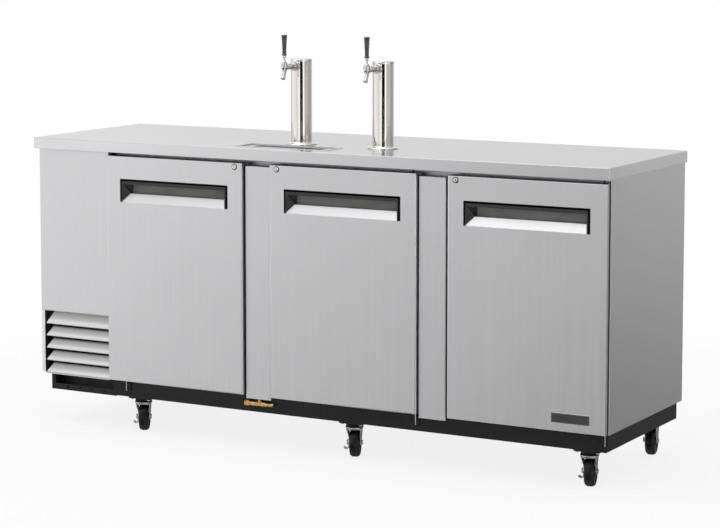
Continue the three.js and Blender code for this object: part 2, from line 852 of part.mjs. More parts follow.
// Evaporator: the finned coil in its case, with a round recess where the fan turns and the motor
// stands out of the recess
function evaporatorCase() {
  const whole = block([0, coilCaseDepth], [0, coilCaseLength], [0, coilCaseHeight]);
  const fanZ = coilCaseHeight * coilHoleShare;
  const recess = bar(coilHoleRadius, [coilCaseDepth - coilRecessDepth, coilCaseDepth + overrun], roundSides)
    .rotateY(Math.PI / 2).translate(0, coilCaseLength / 2, fanZ);
  const slots = [];
  for (let i = 0; i < coilSlotCount; i += 1) {
    const z = coilSlotInset + i * coilSlotPitch;
    slots.push(block([coilCaseDepth - coilSlotDepth, coilCaseDepth + overrun],
      [coilSlotInset, coilCaseLength - coilSlotInset], [z, z + coilSlotHeight]));
  }
  const motor = bar(motorRadius, [coilCaseDepth - coilRecessDepth - overrun, coilMotorLength])
    .rotateY(Math.PI / 2).translate(0, coilCaseLength / 2, fanZ);
  return join(cut(whole, recess, ...slots), motor);
}

// Turned tower on its flange, hollow for the beer line, with a hole for the shank
function towerColumn() {
  const inside = towerRadius - towerWall;
  const column = turned([
    [0, towerHeight - towerCapHeight / 2],
    [inside, towerHeight - towerCapHeight / 2],
    [inside, towerFlangeHeight],
    [lineHoleRadius, towerFlangeHeight],
    [lineHoleRadius, 0],
    [towerFlangeRadius, 0],
    [towerFlangeRadius, towerFlangeEdge],
    [towerFlangeRadius - towerFlangeEdge, towerFlangeHeight],
    [towerRadius + towerFlangeEdge, towerFlangeHeight],
    [towerRadius, towerFlangeHeight + towerFlangeEdge],
    [towerRadius, towerHeight - towerCapHeight],
    [towerRadius + towerCapLip, towerHeight - towerCapHeight],
    [towerRadius + towerCapLip, towerHeight - towerCapChamfer],
    [towerRadius + towerCapLip - towerCapChamfer, towerHeight],
    [0, towerHeight],
  ], towerSides);
  const shankHole = bar(shankRadius + fit, [0, towerRadius + overrun], smallSides)
    .rotateX(Math.PI / 2).translate(0, 0, tapHeight);
  return cut(column, shankHole);
}

// Faucet on its shank: rose, notched nut, waisted barrel, head with the bonnet, and the spout
function faucetBody() {
  const roseStart = towerRadius + fit;
  const nutStart = roseStart + roseThickness;
  const nutEnd = nutStart + nutLength;
  const axisParts = turned([
    [0, towerRadius - shankInside],
    [shankRadius, towerRadius - shankInside],
    [shankRadius, roseStart],
    [roseRadius, roseStart],
    [roseRadius, roseStart + roseThickness / 2],
    [roseRadius - roseThickness / 2, nutStart],
    [nutRadius, nutStart],
    [nutRadius, nutEnd - roseThickness / 2],
    [nutRadius - roseThickness / 2, nutEnd],
    [barrelRadius, nutEnd],
    [barrelWaist, (nutEnd + tapReach - headRadius) / 2],
    [barrelRadius, tapReach - headRadius / 2],
    [0, tapReach],
  ], smallSides);
  const notches = [];
  for (let i = 0; i < nutNotches; i += 1) {
    const turn = 2 * Math.PI * (i + 0.5) / nutNotches;
    notches.push(bar(nutNotchRadius, [nutStart + roseThickness / 2, nutEnd + overrun], hexSides)
      .translate(nutRadius * Math.cos(turn), nutRadius * Math.sin(turn), 0));
  }
  const barrel = cut(axisParts, ...notches).rotateX(Math.PI / 2);
  const bonnetTop = headCrown + bonnetHeight;
  const head = turned([
    [0, -headFoot],
    [headRadius * headFootShare, -headFoot],
    [headRadius, -headFoot / 3],
    [headRadius, headCrown / 2],
    [bonnetRadius, headCrown],
    [bonnetRadius, bonnetTop],
    [ballRadius + fit, bonnetTop],
    [ballRadius + fit, headCrown],
    [0, headCrown],
  ], smallSides).translate(0, -tapReach, 0);
  const vent = bar(ventNubRadius, [0, ventNubHeight], coarseSides).translate(0, -ventNubReach, 0);
  const lean = Math.atan2(spoutLean, spoutDrop);
  const spoutLength = Math.hypot(spoutLean, spoutDrop);
  const spout = cut(
    turned([
      [0, 0],
      [spoutRadius, 0],
      [spoutRadius, -(spoutLength - spoutTipLength)],
      [spoutTipRadius, -(spoutLength - spoutTipLength / 2)],
      [spoutTipRadius, -spoutLength],
      [0, -spoutLength],
    ], smallSides),
    bar(spoutMouthRadius, [-spoutLength - overrun, -spoutLength + spoutMouthDepth], coarseSides),
  ).rotateX(-lean).translate(0, -tapReach + spoutLean / 2, 0);
  const ballSeat = bar(ballRadius + fit, [headCrown, bonnetTop + overrun]).translate(0, -tapReach, 0);
  return cut(join(barrel, head, vent, spout), ballSeat);
}

// Lever with its ball at Z 0, the stem and the chrome collar that the knob screws on
function tapLever() {
  const pivot = tapHeight + headCrown + bonnetHeight;
  const collar = leverCollarStart - pivot;
  const points = [[0, -ballRadius]];
  for (let i = 1; i <= ballSteps; i += 1) {
    const turn = -Math.PI / 2 + (Math.PI / 2 + Math.acos(leverStemRadius / ballRadius)) * i / ballSteps;
    points.push([ballRadius * Math.cos(turn), ballRadius * Math.sin(turn)]);
  }
  points.push(
    [leverStemRadius, collar],
    [leverCollarRadius, collar + leverCollarHeight / 4],
    [leverCollarRadius, collar + leverCollarHeight],
    [0, collar + leverCollarHeight],
  );
  return turned(points, smallSides);
}

// Fluted knob, wider at the top, with a flare at its foot
function tapKnob() {
  const pivot = tapHeight + headCrown + bonnetHeight;
  const start = knobStart - pivot;
  const top = knobTop - pivot;
  const body = turned([
    [0, start],
    [knobFlareRadius, start],
    [knobFlareRadius, start + knobFlareHeight / 3],
    [knobFootRadius, start + knobFlareHeight],
    [knobTopRadius, top - knobCrown],
    [knobTopRadius - knobCrown / 2, top],
    [0, top],
  ], smallSides);
  const flutes = [];
  const low = start + knobFlareHeight * 2;
  const high = top - knobCrown * 2;
  for (let i = 0; i < knobFlutes; i += 1) {
    const flute = bar(knobFluteRadius, [low, high], hexSides);
    const shift = flute.attributes.position;
    for (let p = 0; p < shift.count; p += 1) {
      const share = (shift.getZ(p) - low) / (high - low);
      const reach = knobFootRadius + (knobTopRadius - knobFootRadius) * share;
      shift.setX(p, shift.getX(p) + reach + knobFluteRadius / 2);
    }
    flutes.push(flute.rotateZ(2 * Math.PI * i / knobFlutes));
  }
  return cut(body, ...flutes);
}

// Swivel fork: a raceway head, a bent yoke and the axle bolt, with the swivel axis on Z
function casterFork() {
  const headTop = casterHeight - plateThickness - cupHeight - fit;
  const headBottom = headTop - forkHeadHeight;
  const head = turned([
    [0, headBottom],
    [forkHeadRadius - forkHeadLip, headBottom],
    [forkHeadRadius, headBottom + forkHeadLip],
    [forkHeadRadius, headTop - forkHeadLip],
    [forkHeadRadius - forkHeadLip, headTop],
    [0, headTop],
  ], wheelSides);
  const outside = forkGap / 2 + forkSheet;
  const corner = forkLegFoot * Math.SQRT1_2;
  const legLine = (x) => prismX([
    [-forkLegTop / 2, headBottom + forkHeadLip],
    [-forkLegTop / 2, headBottom - forkHeadLip],
    [casterTrail - forkLegFoot, wheelRadius],
    [casterTrail - corner, wheelRadius - corner],
    [casterTrail, wheelRadius - forkLegFoot],
    [casterTrail + corner, wheelRadius - corner],
    [casterTrail + forkLegFoot, wheelRadius],
    [forkLegTop / 2, headBottom - forkHeadLip],
    [forkLegTop / 2, headBottom + forkHeadLip],
  ], [x, x + forkSheet]);
  const axle = bar(axleRadius, [-outside - brakeDiscThickness * 2, outside + axleHeadLength / 2],
    coarseSides);
  const bolt = bar(axleHeadRadius, [outside - fit, outside + axleHeadLength], hexSides);
  const nut = bar(axleHeadRadius, [-outside - brakeDiscThickness - fit * 2 - axleHeadLength,
    -outside - brakeDiscThickness - fit * 2], hexSides);
  const shaft = join(axle, bolt, nut).rotateY(Math.PI / 2).translate(0, casterTrail, wheelRadius);
  return join(head, legLine(-outside), legLine(outside - forkSheet), shaft);
}

// Wheel: rounded tread, dished faces and a hub with the axle's bore, turning on the X axis.
// The sides are flats that touch the wheel's radius, so a flat rests on the floor.
function casterWheel() {
  const half = wheelWidth / 2;
  const hubHalf = forkGap / 2 - wheelHubGap;
  const outer = wheelRadius / Math.cos(Math.PI / wheelSides);
  const profile = [
    [axleRadius + fit, -hubHalf],
    [wheelHubRadius, -hubHalf],
    [wheelFace, -half + wheelDish],
    [wheelRadius - wheelShoulder, -half],
    [outer, -half + wheelShoulder],
    [outer, half - wheelShoulder],
    [wheelRadius - wheelShoulder, half],
    [wheelFace, half - wheelDish],
    [wheelHubRadius, hubHalf],
    [axleRadius + fit, hubHalf],
  ];
  return turnedRing(profile, wheelSides).rotateZ(Math.PI / wheelSides).rotateY(Math.PI / 2);
}

// Side brake: a cam disc on the axle's end with a bent foot tab
function brakeLever() {
  const inner = forkGap / 2 + forkSheet + fit;
  const disc = cut(
    bar(brakeDiscRadius, [inner, inner + brakeDiscThickness]),
    bar(axleRadius + fit, [inner - overrun, inner + brakeDiscThickness + overrun], roundSides),
  ).rotateY(-Math.PI / 2);
  const start = -(inner + brakeArmSheet / 2);
  const line = strip([
    [start, -brakeDiscRadius * brakeStartShare],
    [start, -brakeDiscRadius - brakeArmDrop / 2],
    [start - brakeArmReach * brakeBendShare, -brakeDiscRadius - brakeArmDrop],
    [start - brakeArmReach, -brakeDiscRadius - brakeArmDrop + brakeTipRise],
  ], brakeArmSheet);
  const arm = prismY(line, [-brakeArmWidth / 2, brakeArmWidth / 2]);
  return join(disc, arm);
}

// The ramp of a handle recess climbs from the door's face towards the back of the recess.
// The drop moves its line square to itself, down and back.
function rampLine(drop) {
  const foot = new THREE.Vector2(doorSheet / 2, -handleHeight);
  const head = new THREE.Vector2(handleDepth - handleSkin - fit - doorSheet,
    -handleHeight + handleRampHeight);
  const run = head.clone().sub(foot).normalize();
  const shift = new THREE.Vector2(run.y, -run.x).multiplyScalar(drop);
  const at = (y) => [y, foot.y + shift.y + (y - foot.x - shift.x) * run.y / run.x];
  return { foot: foot.add(shift).toArray(), head: head.add(shift).toArray(), at };
}

// Door leaf skin with the front at Y 0, its top edge at Z 0 and the hinge axis at X 0.
// The side argument is +1 where the hinge is on the right.
function doorSkin(side) {
  const near = side * hingeInset;
  const far = -side * (doorWidth - hingeInset);
  const xs = [Math.min(near, far), Math.max(near, far)];
  const middle = (near + far) / 2;
  const whole = block(xs, [0, doorThickness - foldShortfall], [-doorHeight, 0]);
  const hollow = block([xs[0] + doorSheet, xs[1] - doorSheet],
    [doorSheet, doorThickness + overrun], [-doorHeight + doorSheet, -doorSheet]);
  const recessTop = -handleDrop;
  const recess = block([middle - handleLength / 2, middle + handleLength / 2],
    [-overrun, doorSheet + overrun], [recessTop - handleHeight, recessTop]);
  const pinHole = bar(hingePinRadius + fit, [-doorHeight - overrun, overrun])
    .translate(0, hingeDepth, 0);
  const lock = bar(lockRadius + fit, [-overrun, doorSheet + overrun], smallSides).rotateX(-Math.PI / 2)
    .translate(far + side * lockInset, 0, -lockDrop);
  const { foot, head } = rampLine(0);
  const rampWidth = handleLength / 2 - handleBand - fit;
  const ramp = prismX(strip([
    [foot[0], foot[1] - doorSheet],
    foot,
    head,
  ], doorSheet), [middle - rampWidth, middle + rampWidth]).translate(0, 0, recessTop);
  return join(cut(whole, hollow, recess, pinHole, lock), ramp);
}

// Foam core with its raised liner, hollowed for the handle, the lock and the hinge pins
function doorCore(side) {
  const near = side * hingeInset;
  const far = -side * (doorWidth - hingeInset);
  const inset = doorSheet + fit;
  const xs = [Math.min(near, far) + inset, Math.max(near, far) - inset];
  const zs = [-doorHeight + inset, -inset];
  const middle = (near + far) / 2;
  const slab = block(xs, [inset, doorThickness], zs);
  const liner = new THREE.ExtrudeGeometry(shapeOf([
    [xs[0] + linerInset, zs[0] + linerInset],
    [xs[1] - linerInset, zs[0] + linerInset],
    [xs[1] - linerInset, zs[1] - linerInset],
    [xs[0] + linerInset, zs[1] - linerInset],
  ]), {
    depth: fit, bevelEnabled: true, bevelThickness: linerHeight, bevelSize: linerSlope,
    bevelOffset: -linerSlope, bevelSegments: 1,
  }).rotateX(Math.PI / 2).translate(0, doorThickness, 0);
  const pocket = block(
    [middle - handleLength / 2 - fit, middle + handleLength / 2 + fit],
    [-overrun, handleDepth + fit], [-handleDrop - handleHeight - fit, -handleDrop + fit]);
  const pinReach = hingePinReach + fit;
  const pins = [[-pinReach, overrun], [-doorHeight - overrun, -doorHeight + pinReach]].map((range) => bar(
    hingePinRadius + fit, range).translate(0, hingeDepth, 0));
  const lock = bar(lockRadius + fit, [-overrun, lockDepth + fit], smallSides).rotateX(-Math.PI / 2)
    .translate(far + side * lockInset, 0, -lockDrop);
  return cut(join(slab, liner), pocket, lock, ...pins);
}

// Magnetic gasket round the back of the leaf
function doorGasket(side) {
  const near = side * hingeInset;
  const far = -side * (doorWidth - hingeInset);
  const low = [Math.min(near, far) + gasketInset, -doorHeight + gasketInset];
  const high = [Math.max(near, far) - gasketInset, -gasketInset];
  const rectangle = (inset) => [
    [low[0] + inset, low[1] + inset], [high[0] - inset, low[1] + inset],
    [high[0] - inset, high[1] - inset], [low[0] + inset, high[1] - inset],
  ];
  const frame = shapeOf(rectangle(gasketRound));
  const inner = rectangle(gasketWidth - gasketRound);
  frame.holes.push(new THREE.Path(inner.map(([x, z]) => new THREE.Vector2(x, z))));
  return new THREE.ExtrudeGeometry(frame, {
    depth: gasketSpace - fit * 2 - gasketRound * 2, bevelEnabled: true, bevelThickness: gasketRound,
    bevelSize: gasketRound, bevelSegments: 1,
  }).rotateX(Math.PI / 2).translate(0, doorThickness + gasketSpace - fit - gasketRound, 0);
}

// Moulded surround of the handle recess: a band over the top and down both sides, a back wall,
// and a sloped floor that backs the steel ramp
function handleBezel() {
  const half = handleLength / 2 - fit;
  const whole = block([-half, half], [-handleProud, handleDepth], [-handleHeight + fit, -fit]);
  const wallY = handleDepth - handleSkin;
  const cavityHalf = handleLength / 2 - handleBand;
  const floor = rampLine(doorSheet / 2 + fit);
  const cavity = prismX([
    [-overrun, -handleBand],
    [0, -handleBand],
    [wallY, -handleBand - handleTopSlope],
    floor.at(wallY),
    floor.at(-overrun),
  ], [-cavityHalf, cavityHalf]);
  const lip = block([-cavityHalf, cavityHalf], [-handleProud - overrun, doorSheet + fit],
    [-handleHeight - overrun, -handleHeight + handleRampHeight]);
  return cut(whole, cavity, lip);
}

// Turning lock plug with its keyway
function lockPlug() {
  const plug = turned([
    [0, -lockDepth],
    [lockRadius, -lockDepth],
    [lockRadius, lockProud - lockChamfer],
    [lockRadius - lockChamfer, lockProud],
    [0, lockProud],
  ], smallSides);
  const keyway = block([-keywayWidth / 2, keywayWidth / 2], [-keywayLength / 2, keywayLength / 2],
    [lockProud - keywayDepth, lockProud + overrun]);
  return cut(plug, keyway).rotateX(Math.PI / 2);
}

// Lower hinge: an angle screwed to the base, with its pin up into the door
function lowerHinge(side) {
  const near = side * hingeInset;
  const xs = [Math.min(near, near - side * hingeLength), Math.max(near, near - side * hingeLength)];
  const wallY = baseSetback - hingeAxisSetback - fit;
  const top = -hingeDrop;
  return join(
    block(xs, [wallY - hingePlate, wallY], [top - hingeDropHeight, top]),
    block(xs, [-hingePinRadius - hingeNose + hingePlate, wallY], [top - hingePlate, top]),
    bar(hingePinRadius, [top - hingePlate, hingePinReach], coarseSides),
  );
}

// Upper hinge: a plate under the slab, with its pin down into the door
function upperHinge(side) {
  const near = side * hingeInset;
  const xs = [Math.min(near, near - side * hingeLength), Math.max(near, near - side * hingeLength)];
  const seat = slabBottomZ - fit - doorTopZ;
  return join(
    block(xs, [-hingePinRadius - hingeNose + hingePlate, bodyFront - hingeAxisSetback - fit],
      [seat - hingePlate, seat]),
    bar(hingePinRadius, [-hingePinReach, seat], coarseSides),
  );
}

// Cabinet
place('base_frame', baseFrame(), blackSteel);
place('cabinet_body', cabinetBody(), linerAluminium);
place('left_side_panel', leftSidePanel(), brushedSteel);
place('right_side_panel', rightSidePanel(), brushedSteel);
place('machine_front_panel', machineFrontPanel(), brushedSteel);
place('louver_grille', louverGrille(), brushedSteel);
place('worktop', worktop(), brushedSteel);
mullionLefts.forEach((left, i) => place(`mullion_cover_${i + 1}`, mullionCover(left), brushedSteel));

// Drain valve under the first post
const valve = place('drain_valve', drainValve(), brass);
valve.position.set(along(mullionLefts[0] + mullionWidth / 2 - valveStemOffset),
  back(baseSetback - valveRadius - valveWallGap), casterHeight + valveRise);

// Drip tray and its grate
const trayGroup = new THREE.Group();
trayGroup.position.set(along(trayCentre), back(trayFront + trayWidth / 2), worktopZ);
group.add(trayGroup);
place('drip_tray', dripTray(), brushedSteel, trayGroup);
place('drip_grate', dripGrate(), brushedSteel, trayGroup).position.z = -trayLedgeDrop + fit;

// Doors
doorLefts.forEach((left, i) => {
  const side = doorHingeSides[i];
  const hinge = new THREE.Group();
  const hingeX = side > 0 ? left + doorWidth - hingeInset : left + hingeInset;
  hinge.position.set(along(hingeX), back(doorSetback), doorTopZ);
  group.add(hinge);
  const middle = side * hingeInset - side * doorWidth / 2;
  const far = -side * (doorWidth - hingeInset);
  place(`door_skin_${i + 1}`, doorSkin(side), brushedSteel, hinge);
  place(`door_core_${i + 1}`, doorCore(side), foamWhite, hinge);
  place(`door_gasket_${i + 1}`, doorGasket(side), gasketRubber, hinge);
  place(`handle_bezel_${i + 1}`, handleBezel(), greyPlastic, hinge).position.set(middle, 0, -handleDrop);
  place(`lock_plug_${i + 1}`, lockPlug(), polishedSteel, hinge)
    .position.set(far + side * lockInset, 0, -lockDrop);
  place(`hinge_bottom_${i + 1}`, lowerHinge(side), blackSteel)
    .position.set(along(hingeX), back(hingeAxisSetback), doorBottomZ);
  place(`hinge_top_${i + 1}`, upperHinge(side), blackSteel)
    .position.set(along(hingeX), back(hingeAxisSetback), doorTopZ);
});

// Tap towers
towerXs.forEach((x, i) => {
  const tower = new THREE.Group();
  tower.position.set(along(x), back(towerSetback), worktopZ + fit);
  group.add(tower);
  place(`tower_column_${i + 1}`, towerColumn(), polishedSteel, tower);
  place(`faucet_body_${i + 1}`, faucetBody(), polishedSteel, tower).position.z = tapHeight;
  const lever = new THREE.Group();
  lever.position.set(0, -tapReach, tapHeight + headCrown + bonnetHeight);
  tower.add(lever);
  place(`tap_lever_${i + 1}`, tapLever(), polishedSteel, lever);
  place(`tap_knob_${i + 1}`, tapKnob(), blackPlastic, lever);
});

// Casters, with the first three in front
const casterPlaces = [
  ...casterXs.map((x, i) => [x, casterFrontSetback, casterTurns[i]]),
  ...casterXs.map((x, i) => [x, casterRearSetback, casterRearTurns[i]]),
];
casterPlaces.forEach(([x, setback, turn], i) => {
  const swivel = new THREE.Group();
  swivel.position.set(along(x), back(setback), 0);
  swivel.rotation.z = THREE.MathUtils.degToRad(turn);
  group.add(swivel);
  place(`caster_fork_${i + 1}`, casterFork(), zincSteel, swivel);
  place(`caster_wheel_${i + 1}`, casterWheel(), tyreRubber, swivel).position.set(0, casterTrail, wheelRadius);
  if (i < casterXs.length) {
    place(`brake_lever_${i + 1}`, brakeLever(), zincSteel, swivel).position.set(0, casterTrail, wheelRadius);
  }
});

// Machine bay
const bayMiddle = along((bayLeft + bayRight) / 2);
const unit = place('condensing_unit', condensingUnit(), machineBlack);
unit.position.set(bayMiddle, back(unitSetback), baseTopZ + fit);
const condenserBlades = fan(shroudHoleRadius - fanTipGap).rotateX(-Math.PI / 2);
const condenserFan = place('condenser_fan', condenserBlades, blackPlastic);
condenserFan.position.set(bayMiddle,
  back(unitSetback + condenserDepth + shroudDepth + motorGap - fit - fanHubLength),
  baseTopZ + fit + unitTraySheet + condenserHeight / 2);

// Evaporator on the left wall inside the cabinet
const coilCase = place('evaporator_case', evaporatorCase(), linerAluminium);
coilCase.position.set(along(insideLeft) + fit, back(coilCaseSetback), coilCaseZ);
const coilBlades = fan(coilHoleRadius - fanTipGap).rotateX(Math.PI).translate(0, 0, fanHubLength);
const coilFan = place('evaporator_fan', coilBlades.rotateY(Math.PI / 2), blackPlastic);
coilFan.position.set(along(insideLeft) + fit + coilMotorLength + fit,
  back(coilCaseSetback + coilCaseLength / 2), coilCaseZ + coilCaseHeight * coilHoleShare);

export default group;
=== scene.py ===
import math

import bmesh
import bpy
from bpy.props import FloatProperty, FloatVectorProperty, IntProperty, PointerProperty
from mathutils import Matrix, Vector


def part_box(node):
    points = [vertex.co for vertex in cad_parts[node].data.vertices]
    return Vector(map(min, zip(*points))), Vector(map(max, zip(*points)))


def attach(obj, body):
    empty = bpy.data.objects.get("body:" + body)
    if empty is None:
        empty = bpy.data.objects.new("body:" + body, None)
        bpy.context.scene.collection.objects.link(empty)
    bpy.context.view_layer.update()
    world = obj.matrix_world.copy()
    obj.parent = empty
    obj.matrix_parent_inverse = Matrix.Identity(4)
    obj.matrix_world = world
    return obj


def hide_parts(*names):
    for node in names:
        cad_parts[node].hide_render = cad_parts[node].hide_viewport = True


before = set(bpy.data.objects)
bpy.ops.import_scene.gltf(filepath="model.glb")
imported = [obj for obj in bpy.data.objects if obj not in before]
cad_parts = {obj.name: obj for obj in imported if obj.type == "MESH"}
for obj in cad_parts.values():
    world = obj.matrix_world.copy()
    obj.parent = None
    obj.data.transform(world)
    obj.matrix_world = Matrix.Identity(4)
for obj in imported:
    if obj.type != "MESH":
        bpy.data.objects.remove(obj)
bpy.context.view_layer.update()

bl_info = {
    "name": "Draft beer dispenser",
    "version": (1, 0, 0),
    "blender": (4, 5, 0),
    "location": "3D View > Sidebar > Dispenser",
    "description": "Makes the pieces of a three-door beer dispenser with two tap towers",
    "category": "Add Mesh",
}

mm = 0.001
UP = Vector((0, 0, 1))
BACK = Vector((0, 1, 0))
RIGHT = Vector((1, 0, 0))
# Turns an outline in X and Y so that it stands in Y and Z and is pushed along X
ACROSS = Matrix(((0, 0, 1, 0), (1, 0, 0, 0), (0, 1, 0, 0), (0, 0, 0, 1)))
SKY_RANGE = 5.0
FAUCET_REACH = 118 * mm
SLAT_HEIGHT = 37 * mm
HANDLE_PIVOT_HEIGHT = 296 * mm
SHANK_HEIGHT = 280 * mm
CAMERA_SHIFT = -100 / 720
HORIZON = (-0.115, -0.095)


# Sizes and colours that a user would change

def size_setting(name, description, default, smallest, largest):
    return FloatProperty(name=name, description=description, default=default, min=smallest,
                         max=largest, subtype='DISTANCE', unit='LENGTH')


class SteelSettings(bpy.types.PropertyGroup):
    fold_radius: size_setting(
        "Fold radius", "Outside radius of the long folds in the sheet steel", 3.5 * mm, 0.5 * mm, 4 * mm)
    edge_radius: size_setting(
        "Edge radius", "Softness of the cut edges of the sheet steel", 0.35 * mm, 0.1 * mm, 0.6 * mm)
    grain_width: size_setting(
        "Grain width", "Width of the streaks that the brushing leaves", 1.6 * mm, 0.2 * mm, 8 * mm)
    colour: FloatVectorProperty(
        name="Steel", description="Colour of the brushed stainless steel", size=3,
        default=(0.58, 0.58, 0.59), min=0, max=1, subtype='COLOR')


class TapSettings(bpy.types.PropertyGroup):
    steps: IntProperty(
        name="Steps round", description="Faces round the towers and the taps", default=96, min=24, max=192)
    flutes: IntProperty(
        name="Flutes", description="Flutes round each tap knob", default=12, min=6, max=24)
    flute_depth: size_setting(
        "Flute depth", "Depth of the flutes of a tap knob", 0.9 * mm, 0, 2 * mm)
    notches: IntProperty(
        name="Notches", description="Notches round the nut of a tap", default=6, min=4, max=12)


class CasterSettings(bpy.types.PropertyGroup):
    wheel_radius: size_setting(
        "Wheel radius", "Radius of a caster wheel", 51 * mm, 30 * mm, 60 * mm)
    fork_sheet: size_setting(
        "Fork sheet", "Thickness of the fork's steel", 3 * mm, 1 * mm, 4 * mm)
    trail: size_setting(
        "Trail", "Distance from the swivel axis back to the axle", 24 * mm, 0, 40 * mm)


class GrilleSettings(bpy.types.PropertyGroup):
    slats: IntProperty(
        name="Slats", description="Slats of the louvered grille", default=5, min=2, max=8)
    pitch: size_setting(
        "Pitch", "Distance from one slat of the grille to the next", 46 * mm, 20 * mm, 60 * mm)
    lip_radius: size_setting(
        "Lip radius", "Radius of the rolled lower lip of a slat", 2.8 * mm, 2 * mm, 6 * mm)


class StageSettings(bpy.types.PropertyGroup):
    azimuth: FloatProperty(
        name="Azimuth", description="Direction of the camera, turned from the front to the right",
        default=math.radians(29.12), subtype='ANGLE', unit='ROTATION')
    elevation: FloatProperty(
        name="Elevation", description="Height of the camera above its target, as an angle",
        default=math.radians(5.82), subtype='ANGLE', unit='ROTATION')
    distance: FloatProperty(
        name="Distance", description="Distance from the camera to its target",
        default=8.2463, subtype='DISTANCE', unit='LENGTH')
    target: FloatVectorProperty(
        name="Target", description="Point that the camera looks at", size=3,
        default=(0.05077, -0.02065, 1.00115), subtype='TRANSLATION', unit='LENGTH')
    lens: FloatProperty(
        name="Lens", description="Focal length in millimetres", default=115.8, min=10, max=400)
    lamp_power: FloatProperty(
        name="Lamp power", description="Power of the overhead soft box in watts", default=60, min=0, max=2000)


# Small tools for meshes

def soften(points, radius, steps=4, closed=False):
    """Rounds the corners of a line of points, each with the radius or with its own."""
    points = [Vector(p) for p in points]
    made = []
    count = len(points)
    for i, p in enumerate(points):
        reach = radius[i] if isinstance(radius, (list, tuple)) else radius
        if reach <= 0 or (not closed and i in (0, count - 1)):
            made.append(p)
            continue
        into = points[i - 1] - p
        out = points[(i + 1) % count] - p
        reach = min(reach, into.length * 0.48, out.length * 0.48)
        a = p + into.normalized() * reach
        b = p + out.normalized() * reach
        for step in range(steps + 1):
            s = step / steps
            made.append(a * (1 - s) ** 2 + p * 2 * s * (1 - s) + b * s * s)
    return made


def lathe(bm, profile, place=Matrix(), steps=64, closed=False, shape=None):
    """Turns a profile of radius and height round Z. A shape changes the radius by angle and height."""
    rings = []
    for radius, height in profile:
        if radius < 1e-7:
            rings.append([bm.verts.new(place @ Vector((0, 0, height)))])
            continue
        ring = []
        for i in range(steps):
            turn = 2 * math.pi * i / steps
            r = shape(radius, height, turn) if shape else radius
            ring.append(bm.verts.new(place @ Vector((r * math.cos(turn), r * math.sin(turn), height))))
        rings.append(ring)
    pairs = list(zip(rings, rings[1:]))
    if closed:
        pairs.append((rings[-1], rings[0]))
    for below, above in pairs:
        for i in range(steps):
            j = (i + 1) % steps
            corners = [below[i % len(below)], below[j % len(below)],
                       above[j % len(above)], above[i % len(above)]]
            corners = list(dict.fromkeys(corners))
            if len(corners) > 2:
                bm.faces.new(corners)
    return rings


def extruded(bm, outline, depth, place=Matrix()):
    """Pushes a flat outline in X and Y up along Z."""
    low = [bm.verts.new(place @ Vector((p[0], p[1], 0))) for p in outline]
    high = [bm.verts.new(place @ Vector((p[0], p[1], depth))) for p in outline]
    bridge(bm, low, high)
    bm.faces.new(low[::-1])
    bm.faces.new(high)


def bridge(bm, a, b):
    """Faces between two rings of vertices."""
    count = len(a)
    for k in range(count):
        n = (k + 1) % count
        bm.faces.new((a[k], a[n], b[n], b[k]))


def slab(bm, low, high):
    """A box between two corners."""
    made = bmesh.ops.create_cube(bm, size=1)["verts"]
    for v in made:
        v.co = Vector(low[a] if v.co[a] < 0 else high[a] for a in range(3))
    return made


def tube(bm, path, radius, steps=16):
    """A closed round bar along a path of points."""
    path = [Vector(p) for p in path]
    side = None
    rings = []
    for i, p in enumerate(path):
        ahead = (path[min(i + 1, len(path) - 1)] - path[max(i - 1, 0)]).normalized()
        if side is None:
            side = ahead.orthogonal().normalized()
        side = (side - ahead * side.dot(ahead)).normalized()
        other = ahead.cross(side)
        rings.append([bm.verts.new(p + (side * math.cos(t) + other * math.sin(t)) * radius)
                      for t in (2 * math.pi * k / steps for k in range(steps))])
    for below, above in zip(rings, rings[1:]):
        bridge(bm, below, above)
    bm.faces.new(rings[0][::-1])
    bm.faces.new(rings[-1])


def strip(line, thickness):
    """The outline of a bent strip, from the line along its middle."""
    line = [Vector((p[0], p[1])) for p in line]
    left, right = [], []
    for i, p in enumerate(line):
        into = (p - line[i - 1]).normalized() if i else (line[1] - p).normalized()
        out = (line[i + 1] - p).normalized() if i < len(line) - 1 else into
        across = Vector((-into.y - out.y, into.x + out.x)).normalized()
        reach = thickness / 2 / max(across.dot(Vector((-into.y, into.x))), 0.3)
        left.append(p + across * reach)
        right.append(p - across * reach)
    return left + right[::-1]


def in_mm(values):
    """Turns lengths, or points, from millimetres into metres."""
    return [tuple(a * mm for a in v) if isinstance(v, tuple) else v * mm for v in values]


def arc(centre, radius, start, end, steps):
    """Points on a circle, with the angles in degrees."""
    turns = [math.radians(start + (end - start) * i / steps) for i in range(steps + 1)]
    return [(centre[0] + radius * math.cos(t), centre[1] + radius * math.sin(t)) for t in turns]


def rounded_rectangle(half_x, half_y, radius, steps=6):
    """The outline of a rectangle with round corners, round its middle."""
    points = []
    for sx, sy, start in ((1, 1, 0), (-1, 1, 90), (-1, -1, 180), (1, -1, 270)):
        points += arc((sx * (half_x - radius), sy * (half_y - radius)), radius, start, start + 90, steps)
    return points


def foot_of(node):
    """The middle of the underside of a node's box."""
    low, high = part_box(node)
    return Vector(((low.x + high.x) / 2, (low.y + high.y) / 2, low.z))


def turn_to(axis, place=Vector()):
    """A place whose Z points along an axis."""
    return Matrix.Translation(place) @ UP.rotation_difference(Vector(axis)).to_matrix().to_4x4()


# How a piece is finished

def mesh_piece(name, bm):
    """Makes a new object from mesh code, with its faces pointing outwards."""
    bmesh.ops.recalc_face_normals(bm, faces=bm.faces)
    mesh = bpy.data.meshes.new(name)
    bm.to_mesh(mesh)
    bm.free()
    piece = bpy.data.objects.new(name, mesh)
    bpy.context.scene.collection.objects.link(piece)
    return piece


